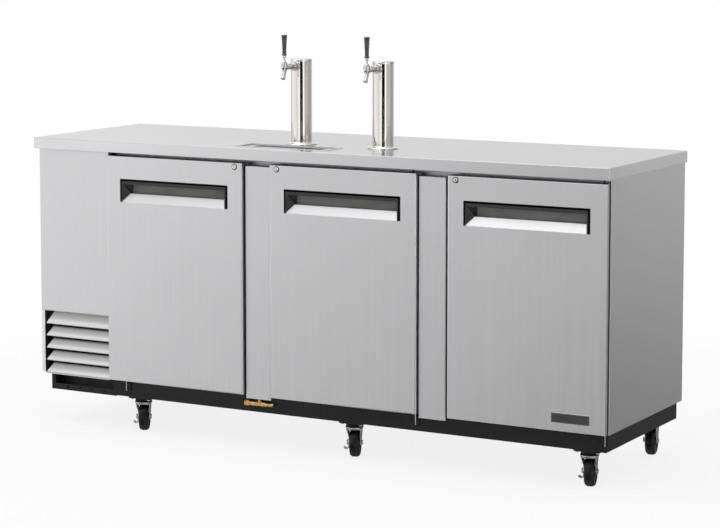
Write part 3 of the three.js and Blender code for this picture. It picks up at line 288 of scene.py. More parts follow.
def bevelled(piece, width, segments=3, angle=35, weight=False):
    """Rounds the edges of a piece and keeps its flat faces flat."""
    edge = piece.modifiers.new("Round edges", 'BEVEL')
    edge.width = width
    edge.segments = segments
    edge.limit_method = 'WEIGHT' if weight else 'ANGLE'
    edge.angle_limit = math.radians(angle)
    edge.use_clamp_overlap = False
    edge.miter_outer = 'MITER_ARC'
    return piece


def kept_inside(piece, node):
    """Makes the rounded mesh real and keeps it within the box of its node."""
    low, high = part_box(node)
    depsgraph = bpy.context.evaluated_depsgraph_get()
    mesh = bpy.data.meshes.new_from_object(piece.evaluated_get(depsgraph))
    piece.modifiers.clear()
    for v in mesh.vertices:
        v.co = Vector(min(max(v.co[a], low[a]), high[a]) for a in range(3))
    piece.data = mesh
    return piece


def settled(piece, body, finish, nodes=(), sharp=35, flat=False):
    """Gives a finished piece its shading, its material, its body and the nodes that it stands for."""
    piece.data.materials.clear()
    piece.data.materials.append(finish)
    piece.data.shade_smooth()
    piece.data.set_sharp_from_angle(angle=math.radians(sharp))
    if flat or piece.modifiers:
        # The largest faces decide the shading of their corners, so flat sheet stays flat
        keep = piece.modifiers.new("Keep faces flat", 'WEIGHTED_NORMAL')
        keep.weight = 100
        keep.keep_sharp = True
    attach(piece, body)
    if nodes:
        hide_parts(*nodes)
    return piece


def node_copy(name, node, faces=(), whole=True):
    """Copies a CAD node with its flat faces whole, and marks the folds along the named box sides. A
    piece with rows of holes keeps its triangles, and only its long edges are marked."""
    bm = bmesh.new()
    bm.from_mesh(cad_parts[node].data)
    bmesh.ops.remove_doubles(bm, verts=bm.verts, dist=0.02 * mm)
    if whole:
        bmesh.ops.dissolve_limit(bm, angle_limit=math.radians(0.5), verts=bm.verts, edges=bm.edges)
    low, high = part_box(node)
    marks = bm.edges.layers.float.new("bevel_weight_edge")
    for edge in bm.edges:
        if not whole and edge.is_manifold and edge.calc_length() > 90 * mm and edge.calc_face_angle() > 0.7:
            edge[marks] = 1
        on = set()
        for a, axis in enumerate("xyz"):
            for sign, end in (("-", low), ("+", high)):
                if all(abs(v.co[a] - end[a]) < 0.05 * mm for v in edge.verts):
                    on.add(axis + sign)
        if len(on) >= 2 and on & set(faces) and not on & OPEN_SIDES.get(node.rstrip("_0123456789"), set()):
            edge[marks] = 1
    return mesh_piece(name, bm)


# Box sides of the folded nodes where the sheet ends in a cut edge, so there is no fold
OPEN_SIDES = {
    "worktop": {"z-"},
    "door_skin": {"y+"},
    "left_side_panel": {"z-", "z+", "x+"},
    "right_side_panel": {"z-", "z+", "x-"},
    "machine_front_panel": {"z-", "z+", "x-"},
    "mullion_cover": {"z-", "y+"},
}


# Geometry Nodes for what repeats

def new_tree(name, sizes):
    """A tree with a geometry socket each way, a material and named sizes."""
    tree = bpy.data.node_groups.new(name, 'GeometryNodeTree')
    face = tree.interface
    face.new_socket("Geometry", in_out='INPUT', socket_type='NodeSocketGeometry')
    face.new_socket("Finish", in_out='INPUT', socket_type='NodeSocketMaterial')
    for label, (kind, default) in sizes.items():
        face.new_socket(label, in_out='INPUT', socket_type=kind).default_value = default
    face.new_socket("Geometry", in_out='OUTPUT', socket_type='NodeSocketGeometry')
    return tree, add(tree, "NodeGroupInput").outputs


def end_tree(tree, geometry, finish):
    """Makes the copies real, gives them their material and ends the tree."""
    real = add(tree, "GeometryNodeRealizeInstances", {"Geometry": geometry})
    dressed = add(tree, "GeometryNodeSetMaterial", {"Geometry": real.outputs[0], "Material": finish})
    add(tree, "NodeGroupOutput", {"Geometry": dressed.outputs[0]})
    return tree


def row_tree():
    """Copies of a piece in a straight row."""
    if "Row of pieces" in bpy.data.node_groups:
        return bpy.data.node_groups["Row of pieces"]
    tree, given = new_tree("Row of pieces", {
        "Count": ('NodeSocketInt', 2), "Step": ('NodeSocketVector', (0.1, 0, 0))})
    line = add(tree, "GeometryNodeMeshLine", {"Count": given["Count"], "Offset": given["Step"]})
    copies = add(tree, "GeometryNodeInstanceOnPoints", {
        "Points": line.outputs[0], "Instance": given["Geometry"]})
    return end_tree(tree, copies.outputs[0], given["Finish"])


def ring_tree():
    """Copies of a piece round the Z axis."""
    if "Ring of pieces" in bpy.data.node_groups:
        return bpy.data.node_groups["Ring of pieces"]
    tree, given = new_tree("Ring of pieces", {
        "Count": ('NodeSocketInt', 6), "Turn": ('NodeSocketFloat', 0.0)})
    line = add(tree, "GeometryNodeMeshLine", {"Count": given["Count"], "Offset": (0.0, 0.0, 0.0)})
    index = add(tree, "GeometryNodeInputIndex")
    step = add(tree, "ShaderNodeMath", {0: math.tau, 1: given["Count"]}, operation='DIVIDE')
    turn = add(tree, "ShaderNodeMath", {
        0: index.outputs[0], 1: step.outputs[0], 2: given["Turn"]}, operation='MULTIPLY_ADD')
    turns = add(tree, "ShaderNodeCombineXYZ", {"Z": turn.outputs[0]})
    copies = add(tree, "GeometryNodeInstanceOnPoints", {
        "Points": line.outputs[0], "Instance": given["Geometry"], "Rotation": turns.outputs[0]})
    return end_tree(tree, copies.outputs[0], given["Finish"])


def grown(piece, tree, finish, place=Matrix(), **sizes):
    """Repeats a piece with a tree, turns the result into a plain mesh and puts it in place."""
    grow = piece.modifiers.new("Repeat", 'NODES')
    grow.node_group = tree
    sizes["Finish"] = finish
    for item in tree.interface.items_tree:
        if item.item_type == 'SOCKET' and item.in_out == 'INPUT' and item.name in sizes:
            grow[item.identifier] = sizes[item.name]
    piece.update_tag()
    depsgraph = bpy.context.evaluated_depsgraph_get()
    mesh = bpy.data.meshes.new_from_object(piece.evaluated_get(depsgraph))
    piece.modifiers.clear()
    mesh.transform(place)
    piece.data = mesh
    return piece


def joined(name, pieces):
    """Makes one piece of several plain ones."""
    bm = bmesh.new()
    for piece in pieces:
        bm.from_mesh(piece.data)
        bpy.data.objects.remove(piece)
    return mesh_piece(name, bm)


# Materials

def linear(code):
    """Turns an sRGB hex colour into linear values."""
    parts = [int(code[i:i + 2], 16) / 255 for i in (1, 3, 5)]
    return tuple(c / 12.92 if c <= 0.04045 else ((c + 0.055) / 1.055) ** 2.4 for c in parts) + (1.0,)


def add(tree, kind, inputs=None, **settings):
    """Adds a node with its settings, its values and its links."""
    node = tree.nodes.new(kind)
    for key, value in settings.items():
        setattr(node, key, value)
    for key, value in (inputs or {}).items():
        if isinstance(value, bpy.types.NodeSocket):
            tree.links.new(value, node.inputs[key])
        else:
            node.inputs[key].default_value = value
    return node


def new_finish(name, **surface):
    """A material with one shader, and the object coordinates that its patterns read."""
    material = bpy.data.materials.new(name)
    material.use_nodes = True
    tree = material.node_tree
    tree.nodes.clear()
    shader = add(tree, "ShaderNodeBsdfPrincipled", {k.replace("_", " "): v for k, v in surface.items()})
    add(tree, "ShaderNodeOutputMaterial", {"Surface": shader.outputs[0]})
    place = add(tree, "ShaderNodeTexCoord").outputs["Object"]
    return material, tree, shader, place


def noise(tree, place, size, detail=2.0, roughness=0.5):
    """Noise whose grains have the given real size along X, Y and Z."""
    scaled = add(tree, "ShaderNodeMapping", {
        "Vector": place, "Scale": tuple(1 / s for s in size)}, vector_type='POINT')
    return add(tree, "ShaderNodeTexNoise", {
        "Vector": scaled.outputs[0], "Scale": 1.0, "Detail": detail, "Roughness": roughness}).outputs[0]


def between(tree, value, low, high, start=0.3, end=0.7):
    """Spreads a pattern's values between two numbers."""
    return add(tree, "ShaderNodeMapRange", {
        "Value": value, "From Min": start, "From Max": end, "To Min": low, "To Max": high}).outputs[0]


def blended(tree, value, first, second):
    """Mixes two hex colours by a pattern."""
    return add(tree, "ShaderNodeMix", {
        "Factor": value, "A": first, "B": second}, data_type='RGBA').outputs["Result"]


def bumped(tree, shader, value, height):
    """Gives a shader bumps with a real height."""
    bump = add(tree, "ShaderNodeBump", {"Height": value, "Distance": height, "Strength": 1.0})
    tree.links.new(bump.outputs[0], shader.inputs["Normal"])


def tinted(colour, factor):
    return tuple(min(c * factor, 1.0) for c in colour[:3]) + (1.0,)


def patterned(name, patterns, colours, rough, relief=None, spread=True, **surface):
    """A material whose first pattern sets its colour. Colours are two hex codes. Rough is a pattern
    with two levels, and relief is a pattern with a height. Patterns give their grains' size in
    millimetres and their detail."""
    material, tree, shader, place = new_finish(name, **surface)
    made = {key: noise(tree, place, [s * mm for s in size], detail)
            for key, (size, detail) in patterns.items()}
    tone = next(iter(made.values()))
    tone = between(tree, tone, 0, 1) if spread else tone
    tree.links.new(blended(tree, tone, *map(linear, colours)), shader.inputs["Base Color"])
    tree.links.new(between(tree, made[rough[0]], *rough[1:]), shader.inputs["Roughness"])
    if relief:
        bumped(tree, shader, made[relief[0]], relief[1])
    return material


def brushed(name, long_axis, light=1.0, rough=(0.33, 0.39)):
    """Grade 304 stainless sheet with a satin brush: fine streaks along one axis, which spread a
    highlight and keep the sheet soft and pale. The streaks are drawn wider than the real 0.1 mm, so
    that they show from close by and fade into an even sheen from a distance."""
    steel = bpy.context.scene.dispenser_steel
    material, tree, shader, place = new_finish(name, Metallic=1.0)
    width = steel.grain_width
    fine = [width, width, width]
    fine[long_axis] = 160 * mm
    wide = in_mm([9, 9, 9])
    wide[long_axis] = 700 * mm
    grain = noise(tree, place, fine, detail=3)
    streak = noise(tree, place, wide, detail=2)
    cloud = noise(tree, place, (420 * mm, 420 * mm, 420 * mm), detail=1)
    both = add(tree, "ShaderNodeMath", {0: grain, 1: streak}, operation='ADD').outputs[0]
    all_three = add(tree, "ShaderNodeMath", {0: both, 1: cloud}, operation='ADD').outputs[0]
    base = tuple(steel.colour) + (1.0,)
    tree.links.new(blended(tree, between(tree, all_three, 0, 1, 1.2, 1.8), tinted(base, 0.975 * light),
                           tinted(base, 1.025 * light)), shader.inputs["Base Color"])
    tree.links.new(between(tree, both, rough[0], rough[1], 0.7, 1.3), shader.inputs["Roughness"])
    bumped(tree, shader, grain, 0.004 * mm)
    return material


def upright_stainless():
    """Doors and panels are brushed from top to bottom."""
    return brushed("upright_brushed_stainless", 2, light=1.12)


def slat_stainless():
    """Slats of the grille: the same sheet, with the grime that air leaves towards the root of each."""
    material = brushed("grimy_slat_stainless", 0, light=1.15)
    tree = material.node_tree
    shader = next(node for node in tree.nodes if node.type == 'BSDF_PRINCIPLED')
    root = add(tree, "ShaderNodeAttribute", attribute_name="root").outputs["Fac"]
    link = shader.inputs["Base Color"].links[0].from_socket
    clean = add(tree, "ShaderNodeMix", {
        "Factor": root, "A": (1, 1, 1, 1), "B": (0.5, 0.49, 0.47, 1)}, data_type='RGBA').outputs["Result"]
    tree.links.new(add(tree, "ShaderNodeMix", {
        "Factor": 1.0, "A": link, "B": clean}, data_type='RGBA', blend_type='MULTIPLY').outputs["Result"],
        shader.inputs["Base Color"])
    return material


def lengthwise_stainless():
    """The worktop and its tray are brushed along the cabinet."""
    return brushed("lengthwise_brushed_stainless", 0, rough=(0.22, 0.27))


def ramp_stainless():
    """The ramps of the handles are the same sheet, polished by hands."""
    return brushed("handle_ramp_stainless", 0, light=1.12, rough=(0.4, 0.5))


def polished(name, colour, rough):
    """Mirror-polished or chromed metal: clear reflections, with the faint ripple of the buffing."""
    material, tree, shader, place = new_finish(name, Metallic=1.0)
    ripple = noise(tree, place, (14 * mm, 14 * mm, 40 * mm), detail=1)
    smear = noise(tree, place, (30 * mm, 30 * mm, 60 * mm), detail=3)
    tree.links.new(blended(tree, smear, linear(colour), tinted(linear(colour), 0.96)),
                   shader.inputs["Base Color"])
    tree.links.new(between(tree, smear, rough, rough * 1.8), shader.inputs["Roughness"])
    bumped(tree, shader, ripple, 0.003 * mm)
    return material


def polished_stainless():
    """Tower tube: mirror-polished stainless, a little warm."""
    return polished("mirror_polished_stainless", "#dedad5", 0.04)


def chrome():
    """Taps and locks: chrome plate on brass, bluer and clearer than the tube."""
    return polished("chrome_plated_brass", "#c9c7c5", 0.05)


def zinc_plate():
    """Caster steel: bright zinc plate, with crystals that catch the light unevenly."""
    return patterned("bright_zinc_plated_steel", {"flake": ((4, 4, 4), 4)}, ("#b9b9b4", "#dcdcda"),
                     ("flake", 0.22, 0.4), ("flake", 0.03 * mm), Metallic=1.0)


def powder_coat():
    """Base frame and hinges: satin black powder coat, with its fine orange peel."""
    return patterned("satin_black_powder_coat", {"dust": ((60, 60, 30), 4), "peel": ((2.2, 2.2, 2.2), 2)},
                     ("#0e0e0f", "#161617"), ("peel", 0.38, 0.52), ("peel", 0.08 * mm), IOR=1.37)


def stucco_aluminium():
    """Liner: aluminium sheet rolled with a stucco pattern of 6 mm dimples, which break up light."""
    material, tree, shader, place = new_finish("stucco_embossed_aluminium", Metallic=1.0)
    cells = add(tree, "ShaderNodeMapping", {"Vector": place, "Scale": (1 / (6 * mm),) * 3})
    dimple = add(tree, "ShaderNodeTexVoronoi", {"Vector": cells.outputs[0], "Scale": 1.0},
                 feature='SMOOTH_F1').outputs["Distance"]
    haze = noise(tree, place, (160 * mm, 160 * mm, 160 * mm), detail=1)
    tree.links.new(blended(tree, between(tree, haze, 0, 1), linear("#bcbfc1"), linear("#c4c7c9")),
                   shader.inputs["Base Color"])
    tree.links.new(between(tree, haze, 0.44, 0.47), shader.inputs["Roughness"])
    bumped(tree, shader, dimple, 0.25 * mm)
    return material


def yellow_brass():
    """Drain valve: turned yellow brass, with darker tarnish in its tool marks."""
    return patterned("turned_yellow_brass", {"tarnish": ((9, 9, 9), 5), "marks": ((0.8, 12, 12), 2)},
                     ("#b78d48", "#e3c47e"), ("tarnish", 0.34, 0.2), ("marks", 0.04 * mm), Metallic=1.0)


def gloss_phenolic():
    """Tap knobs: black phenolic, moulded and buffed to a deep gloss."""
    return patterned("buffed_black_phenolic", {"mottle": ((3, 3, 8), 3)}, ("#121114", "#1d1b1f"),
                     ("mottle", 0.2, 0.32), ("mottle", 0.01 * mm), spread=False,
                     IOR=1.6, Coat_Weight=0.6, Coat_Roughness=0.08)


def moulded_plastic(name, dark, pale, rough):
    """Injection-moulded ABS or nylon: an even colour with a fine spark-eroded grain of 0.8 mm."""
    return patterned(name, {"flow": ((70, 70, 40), 2), "grain": ((0.8, 0.8, 0.8), 2)}, (dark, pale),
                     ("grain", rough - 0.06, rough + 0.06), ("grain", 0.03 * mm), IOR=1.54)


def grey_abs():
    """Handle surround: charcoal ABS."""
    return moulded_plastic("charcoal_moulded_abs", "#2e2d30", "#38373a", 0.42)


def smoked_abs():
    """Back of the handle: the same ABS, scuffed grey by fingers."""
    return moulded_plastic("scuffed_grey_abs", "#6c6864", "#7a7672", 0.5)


def black_nylon():
    """Fans: glass-filled black nylon, duller than ABS."""
    return moulded_plastic("glass_filled_black_nylon", "#1a1a1b", "#222223", 0.5)


def white_liner():
    """Door liners: white vacuum-formed polystyrene with a soft gloss."""
    return moulded_plastic("vacuum_formed_white_polystyrene", "#dadad6", "#dededa", 0.38)


def gasket_vinyl():
    """Door gaskets: soft vinyl with a dull skin."""
    return moulded_plastic("soft_grey_vinyl_gasket", "#26272a", "#2f3033", 0.6)


def tread_rubber():
    """Caster tyres: black polyurethane, with a dull skin that has gone grey on the tread."""
    return patterned("black_polyurethane_tyre", {"scuff": ((12, 12, 12), 5)}, ("#080809", "#131214"),
                     ("scuff", 0.32, 0.5), ("scuff", 0.06 * mm), IOR=1.36)


def black_enamel():
    """Compressor and condenser: sprayed black enamel with a thin, uneven gloss."""
    return patterned("sprayed_black_enamel", {"spray": ((5, 5, 5), 4)}, ("#1a1b1d", "#2b2c2f"),
                     ("spray", 0.4, 0.62), ("spray", 0.05 * mm), spread=False, IOR=1.5)


def keyway_black():
    """Inside of a keyway or a spout: dark, greasy metal."""
    return patterned("dark_bore", {"grime": ((2, 2, 2), 3)}, ("#030303", "#090909"),
                     ("grime", 0.5, 0.7), spread=False, IOR=1.45)


def finish(maker):
    """The material of one maker function, made once."""
    key = "finish:" + maker.__name__
    scene = bpy.context.scene
    if key not in scene:
        scene[key] = maker().name
    return bpy.data.materials[scene[key]]


# Operators, one for each group of pieces

class DISPENSER_OT_cabinet(bpy.types.Operator):
    """Make the worktop, the panels and the post covers from folded sheet"""
    bl_idname = "dispenser.cabinet"
    bl_label = "Cabinet sheets"

    def execute(self, context):
        steel = context.scene.dispenser_steel
        sheets = (
            ("worktop", ("z+", "y-", "y+"), lengthwise_stainless),
            ("left_side_panel", ("x-",), upright_stainless),
            ("right_side_panel", ("x+",), upright_stainless),
            ("machine_front_panel", ("y-",), upright_stainless),
            ("mullion_cover_1", ("y-",), upright_stainless),
            ("mullion_cover_2", ("y-",), upright_stainless),
        )
        for node, faces, maker in sheets:
            piece = node_copy("sheet_" + node, node, faces)
            bevelled(piece, steel.fold_radius, segments=5, weight=True)
            bevelled(piece, steel.edge_radius, segments=2, angle=50)
            kept_inside(piece, node)
            settled(piece, "cabinet", finish(maker), [node], flat=True)
        return {'FINISHED'}


class DISPENSER_OT_grille(bpy.types.Operator):
    """Make the louvered grille of the machine bay"""
    bl_idname = "dispenser.grille"
    bl_label = "Louvered grille"

    def execute(self, context):
        grille = context.scene.dispenser_grille
        steel = finish(upright_stainless)
        low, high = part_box("louver_grille")
        sheet, side, foot = 1.5 * mm, 6 * mm, 3 * mm
        bm = bmesh.new()
        notch = low.y + 10 * mm
        for x0, x1, edge in ((low.x, low.x + sheet, low.x), (high.x - side, high.x, high.x - sheet)):
            slab(bm, (x0, low.y, low.z), (x1, low.y + sheet, high.z))
            slab(bm, (edge, low.y, low.z + 5.4 * mm), (edge + sheet, high.y, high.z))
        slab(bm, (low.x, low.y, low.z), (high.x, notch - 0.4 * mm, low.z + foot))
        slab(bm, (low.x, low.y, high.z - sheet), (high.x, high.y, high.z))
        frame_piece = mesh_piece("grille_frame", bm)
        r = grille.lip_radius
        pieces = [frame_piece]
        for first, count, last in ((0, grille.slats - 1, False), (grille.slats - 1, 1, True)):
            start = low.z + foot + first * grille.pitch
            top = high.z - sheet - start if last else SLAT_HEIGHT
            lip = arc((r, r), r - sheet / 2, 155, 318, 16)
            # The slat leans back in a shallow curve above its lip
            middle = [(Vector(lip[0]) * (1 - s) + Vector((15 * mm, top)) * s
                       + Vector((-1.6 * mm, 1.0 * mm)) * math.sin(math.pi * s)) for s in
                      (1.0, 0.8, 0.6, 0.4, 0.2)]
            line = [tuple(p) for p in middle] + lip
            slat = bmesh.new()
            left = low.x + 3.5 * mm
            place = Matrix.Translation((left, low.y, start)) @ ACROSS
            extruded(slat, strip(line, sheet), high.x - left - sheet / 2, place)
            # The left end of a slat is cut back towards its top
            for v in slat.verts:
                if v.co.x < left + 1 * mm:
                    v.co.x += 26 * mm * max(0.0, (v.co.z - start - 7 * mm) / (36 * mm)) ** 0.8
            row = mesh_piece("grille_slat", slat)
            pieces.append(grown(row, row_tree(), steel, Count=count, Step=(0, 0, grille.pitch)))
        # Flange of the side panel beside the slats, bent a little towards the left
        bm = bmesh.new()
        panel_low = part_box("left_side_panel")[0]
        bent = low.x - 0.3 * mm
        flange = [(panel_low.x + 0.3 * mm, low.y), (bent, low.y - 4.6 * mm), (bent, low.y)]
        extruded(bm, flange, high.z - panel_low.z - 1 * mm,
                 Matrix.Translation((0, 0, panel_low.z + 0.5 * mm)))
        edge = mesh_piece("grille_side_flange", bm)
        settled(edge, "cabinet", steel)
        piece = joined("louver_grille_slats", pieces)
        settled(piece, "cabinet", finish(slat_stainless), ["louver_grille"], sharp=28)
        root = piece.data.attributes.new("root", 'FLOAT', 'POINT')
        for v in piece.data.vertices:
            rise = ((v.co.z - low.z - foot) % grille.pitch) / SLAT_HEIGHT
            inside = v.co.y > low.y + sheet + 1 * mm
            root.data[v.index].value = min(rise, 1.0) if inside else 0.0
        return {'FINISHED'}


class DISPENSER_OT_base(bpy.types.Operator):
    """Make the base frame with its bolts, the hinge brackets and the drain valve"""
    bl_idname = "dispenser.base"
    bl_label = "Base, hinges and valve"

    def execute(self, context):
        coat = finish(powder_coat)
        base = node_copy("welded_base_frame", "base_frame", whole=False)
        bevelled(base, 0.6 * mm, segments=2, weight=True)
        settled(base, "cabinet", coat, ["base_frame"])
        # Upright sheet that closes the base behind the lip of holes
        low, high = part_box("base_frame")
        bm = bmesh.new()
        slab(bm, (low.x + 4 * mm, low.y + 40 * mm, low.z + 1.5 * mm),
             (low.x + 300 * mm, low.y + 41.5 * mm, high.z - 0.4 * mm))
        settled(mesh_piece("base_back_sheet", bm), "cabinet", finish(keyway_black))
        for i in range(1, 7):
            centre = swivel_place(i)
            bolts = []
            for y in (-21 * mm, 21 * mm):
                bm = bmesh.new()
                hexagon = arc((-37 * mm, y), 6 * mm, 0, 300, 5)
                extruded(bm, hexagon, 4.2 * mm, Matrix.Translation((0, 0, 120.8 * mm)))
                row = mesh_piece("plate_bolt", bm)
                bolts.append(grown(row, row_tree(), coat, Matrix.Translation((centre.x, centre.y, 0)),
                                   Count=2, Step=(74 * mm, 0, 0)))
            piece = joined(f"caster_bolts_{i}", bolts)
            bevelled(piece, 0.5 * mm, segments=2, angle=40)
            settled(piece, "cabinet", finish(zinc_plate))
        for place in ("bottom", "top"):
            for i in (1, 2, 3):
                node = f"hinge_{place}_{i}"
                piece = node_copy("bracket_" + node, node)
                bevelled(piece, 0.9 * mm, segments=3, angle=40)
                settled(piece, "cabinet", coat, [node])
        for i in (1, 2, 3):
            low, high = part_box(f"hinge_bottom_{i}")
            bm = bmesh.new()
            head = in_mm([(0, 1.9), (2.6, 1.7), (4.2, 0.8), (4.6, 0), (0, 0)])
            lathe(bm, head[::-1], turn_to(-BACK, (low.x + 14 * mm, high.y - 3.5 * mm, low.z + 13 * mm)), 24)
            row = mesh_piece(f"hinge_screws_{i}", bm)
            grown(row, row_tree(), coat, Count=3, Step=(24 * mm, 0, 0))
            settled(row, "cabinet", coat)
            # The bracket's folded end is worn bright
            bm = bmesh.new()
            slab(bm, (high.x - 2.6 * mm, low.y - 0.2 * mm, low.z + 6 * mm),
                 (high.x - 0.1 * mm, low.y + 2.6 * mm, low.z + 45 * mm))
            end = mesh_piece(f"hinge_end_{i}", bm)
            bevelled(end, 0.9 * mm, segments=3)
            settled(end, "cabinet", finish(zinc_plate))
        self.valve()
        return {'FINISHED'}

    def valve(self):
        low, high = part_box("drain_valve")
        start = Vector((low.x, high.y - 10 * mm, low.z + 10 * mm))
        along = turn_to(RIGHT, start)
        brass = finish(yellow_brass)
        rib = bmesh.new()
        slab(rib, (9.2 * mm, -1.1 * mm, 1.5 * mm), (10.1 * mm, 1.1 * mm, 19 * mm))
        ribs = grown(mesh_piece("cap_ribs", rib), ring_tree(), brass, along, Count=16)
        bm = bmesh.new()
        body = in_mm([(0, 0), (8.4, 0), (9.4, 1), (9.4, 20), (8, 21.5),
                (6.4, 22), (6.4, 25), (8, 26), (8, 47),
                (9, 48), (9, 50), (8, 51), (8, 68),
                (9, 69), (9, 71), (8, 72), (8, 88),
                (6, 90), (6, 96), (7, 99), (6, 100),
                (7, 105), (6, 106), (7, 111), (5.6, 117),
                (5.4, 118), (0, 118)])
        lathe(bm, soften(body, 0.5 * mm, 2), along, 40)
        extruded(bm, arc((0, 0), 9.2 * mm, 0, 300, 5), 16 * mm,
                 turn_to(RIGHT, start + RIGHT * 52 * mm))
        stem = Matrix.Translation(start + RIGHT * 60 * mm)
        lathe(bm, in_mm([(0, 0), (5, 0), (5, 25.6), (0, 25.6)]), stem, 28)
        lathe(bm, soften(in_mm([(0, 6), (7.6, 6), (7.6, 12), (0, 12)]), 0.6 * mm, 2),
              stem, 6)
        x = start.x + 60 * mm
        slab(bm, (x - 10 * mm, start.y, start.z - 4 * mm), (x + 10 * mm, high.y, start.z + 4 * mm))
        piece = joined("brass_drain_valve", [ribs, mesh_piece("valve_body", bm)])
        bevelled(piece, 0.3 * mm, segments=2, angle=50)
        settled(piece, "cabinet", brass, ["drain_valve"])


class DISPENSER_OT_doors(bpy.types.Operator):
    """Make the doors with their handle surrounds, gaskets and locks"""
    bl_idname = "dispenser.doors"
    bl_label = "Doors"

    def execute(self, context):
        steel = context.scene.dispenser_steel
        for i in (1, 2, 3):
            body = f"door_{i}"
            skin = node_copy(f"folded_door_skin_{i}", f"door_skin_{i}", ("y-",))
            bevelled(skin, steel.fold_radius, segments=5, weight=True)
            bevelled(skin, steel.edge_radius, segments=2, angle=50)
            settled(skin, body, finish(upright_stainless), [f"door_skin_{i}"])
            skin.data.materials.append(finish(ramp_stainless))
            self.mark_ramp(skin, i)
            core = node_copy(f"door_liner_{i}", f"door_core_{i}")
            bevelled(core, 1.6 * mm, segments=3, angle=30)
            settled(core, body, finish(white_liner), [f"door_core_{i}"])
            bezel = node_copy(f"handle_surround_{i}", f"handle_bezel_{i}")
            bevelled(bezel, 0.9 * mm, segments=3, angle=30)
            settled(bezel, body, finish(grey_abs), [f"handle_bezel_{i}"])
            bezel.data.materials.append(finish(smoked_abs))
            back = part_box(f"handle_bezel_{i}")[1].y - 3 * mm
            for face in bezel.data.polygons:
                if face.normal.y < -0.9 and face.center.y > back:
                    face.material_index = 1
            self.mouth(i)
            self.gasket(i)
            self.lock(i)
        self.plate()
        return {'FINISHED'}

    def mark_ramp(self, skin, i):
        low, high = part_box(f"handle_bezel_{i}")
        for face in skin.data.polygons:
            c = face.center
            inside = low.x + 4 * mm < c.x < high.x - 4 * mm and low.z - 2 * mm < c.z < high.z
            if inside and face.normal.z > 0.3 and c.y > low.y + 2 * mm:
                face.material_index = 1

    def mouth(self, i):
        # Flange round the mouth of the handle, its slanted left wall and the steel ramp for the fingers
        low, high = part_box(f"handle_bezel_{i}")
        x0, x1, z0, z1, front = low.x, high.x, low.z, high.z, low.y
        top, left, right, foot, inner = 18 * mm, 15 * mm, 12 * mm, 4 * mm, 34 * mm
        shelf = z0 + 31 * mm
        bm = bmesh.new()
        outline = [(x0, z0), (x0, z1), (x1, z1), (x1, z0), (x1 - right, z0), (x1 - right, z1 - top),
                   (x0 + left, z1 - top), (x0 + foot, z0)]
        upright = Matrix(((1, 0, 0, 0), (0, 0, 1, front), (0, 1, 0, 0), (0, 0, 0, 1)))
        extruded(bm, outline, 1.4 * mm, upright)
        corners = [(x0 + left, front + 1.2 * mm, z1 - top), (x0 + foot, front + 1.2 * mm, z0 + 0.6 * mm),
                   (x0 + inner, front + 19 * mm, shelf), (x0 + inner, high.y - 2.2 * mm, shelf),
                   (x0 + inner, high.y - 2.2 * mm, z1 - top + 2 * mm)]
        rows = [[bm.verts.new(Vector(c) - RIGHT * shift) for c in corners] for shift in (0, 1.2 * mm)]
        bridge(bm, *rows)
        for row in rows:
            for k in (1, 2, 3):
                bm.faces.new((row[0], row[k], row[k + 1]))
        piece = mesh_piece(f"handle_flange_{i}", bm)
        settled(piece, f"door_{i}", finish(black_nylon))
        bm = bmesh.new()
        ramp = [(front + 1.6 * mm, z0 + 0.2 * mm), (front + 18 * mm, shelf),
                (high.y - 2.4 * mm, shelf + 0.6 * mm),
                (high.y - 2.4 * mm, shelf - 1.4 * mm), (front + 3.4 * mm, z0 + 0.2 * mm)]
        rows = []
        for end in (0, 1):
            rows.append([bm.verts.new((
                x1 - right if end else x0 + foot + (inner - foot) * min(1, (z - z0) / (shelf - z0)), y, z))
                for y, z in ramp])
        bridge(bm, *rows)
        bm.faces.new(rows[0][::-1])
        bm.faces.new(rows[1])
        piece = mesh_piece(f"finger_ramp_{i}", bm)
        bevelled(piece, 0.8 * mm, segments=3)
        settled(piece, f"door_{i}", finish(ramp_stainless))

    def gasket(self, i):
        low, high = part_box(f"door_gasket_{i}")
        depth = high.y - low.y
        # Across the gasket: a flat foot, a bellows fold each side and a round magnet bead
        section = soften([
            (0.8 * mm, 0), (0, 2 * mm), (2.4 * mm, 3.6 * mm), (0.6 * mm, 5.6 * mm),
            (0.8 * mm, depth - 1.6 * mm),
            (3.2 * mm, depth), (12.8 * mm, depth), (15.2 * mm, depth - 1.6 * mm), (15.4 * mm, 5.6 * mm),
            (13.6 * mm, 3.6 * mm), (16 * mm, 2 * mm), (15.2 * mm, 0),
        ], 1.0 * mm, 3, closed=True)
        bm = bmesh.new()
        rings = []
        for inset, y in section:
            x0, x1, z0, z1 = low.x + inset, high.x - inset, low.z + inset, high.z - inset
            rings.append([bm.verts.new((x, low.y + y, z))
                          for x, z in ((x0, z0), (x1, z0), (x1, z1), (x0, z1))])
        for a, b in zip(rings, rings[1:] + rings[:1]):
            bridge(bm, a, b)
        piece = mesh_piece(f"bellows_gasket_{i}", bm)
        settled(piece, f"door_{i}", finish(gasket_vinyl), [f"door_gasket_{i}"], sharp=50)

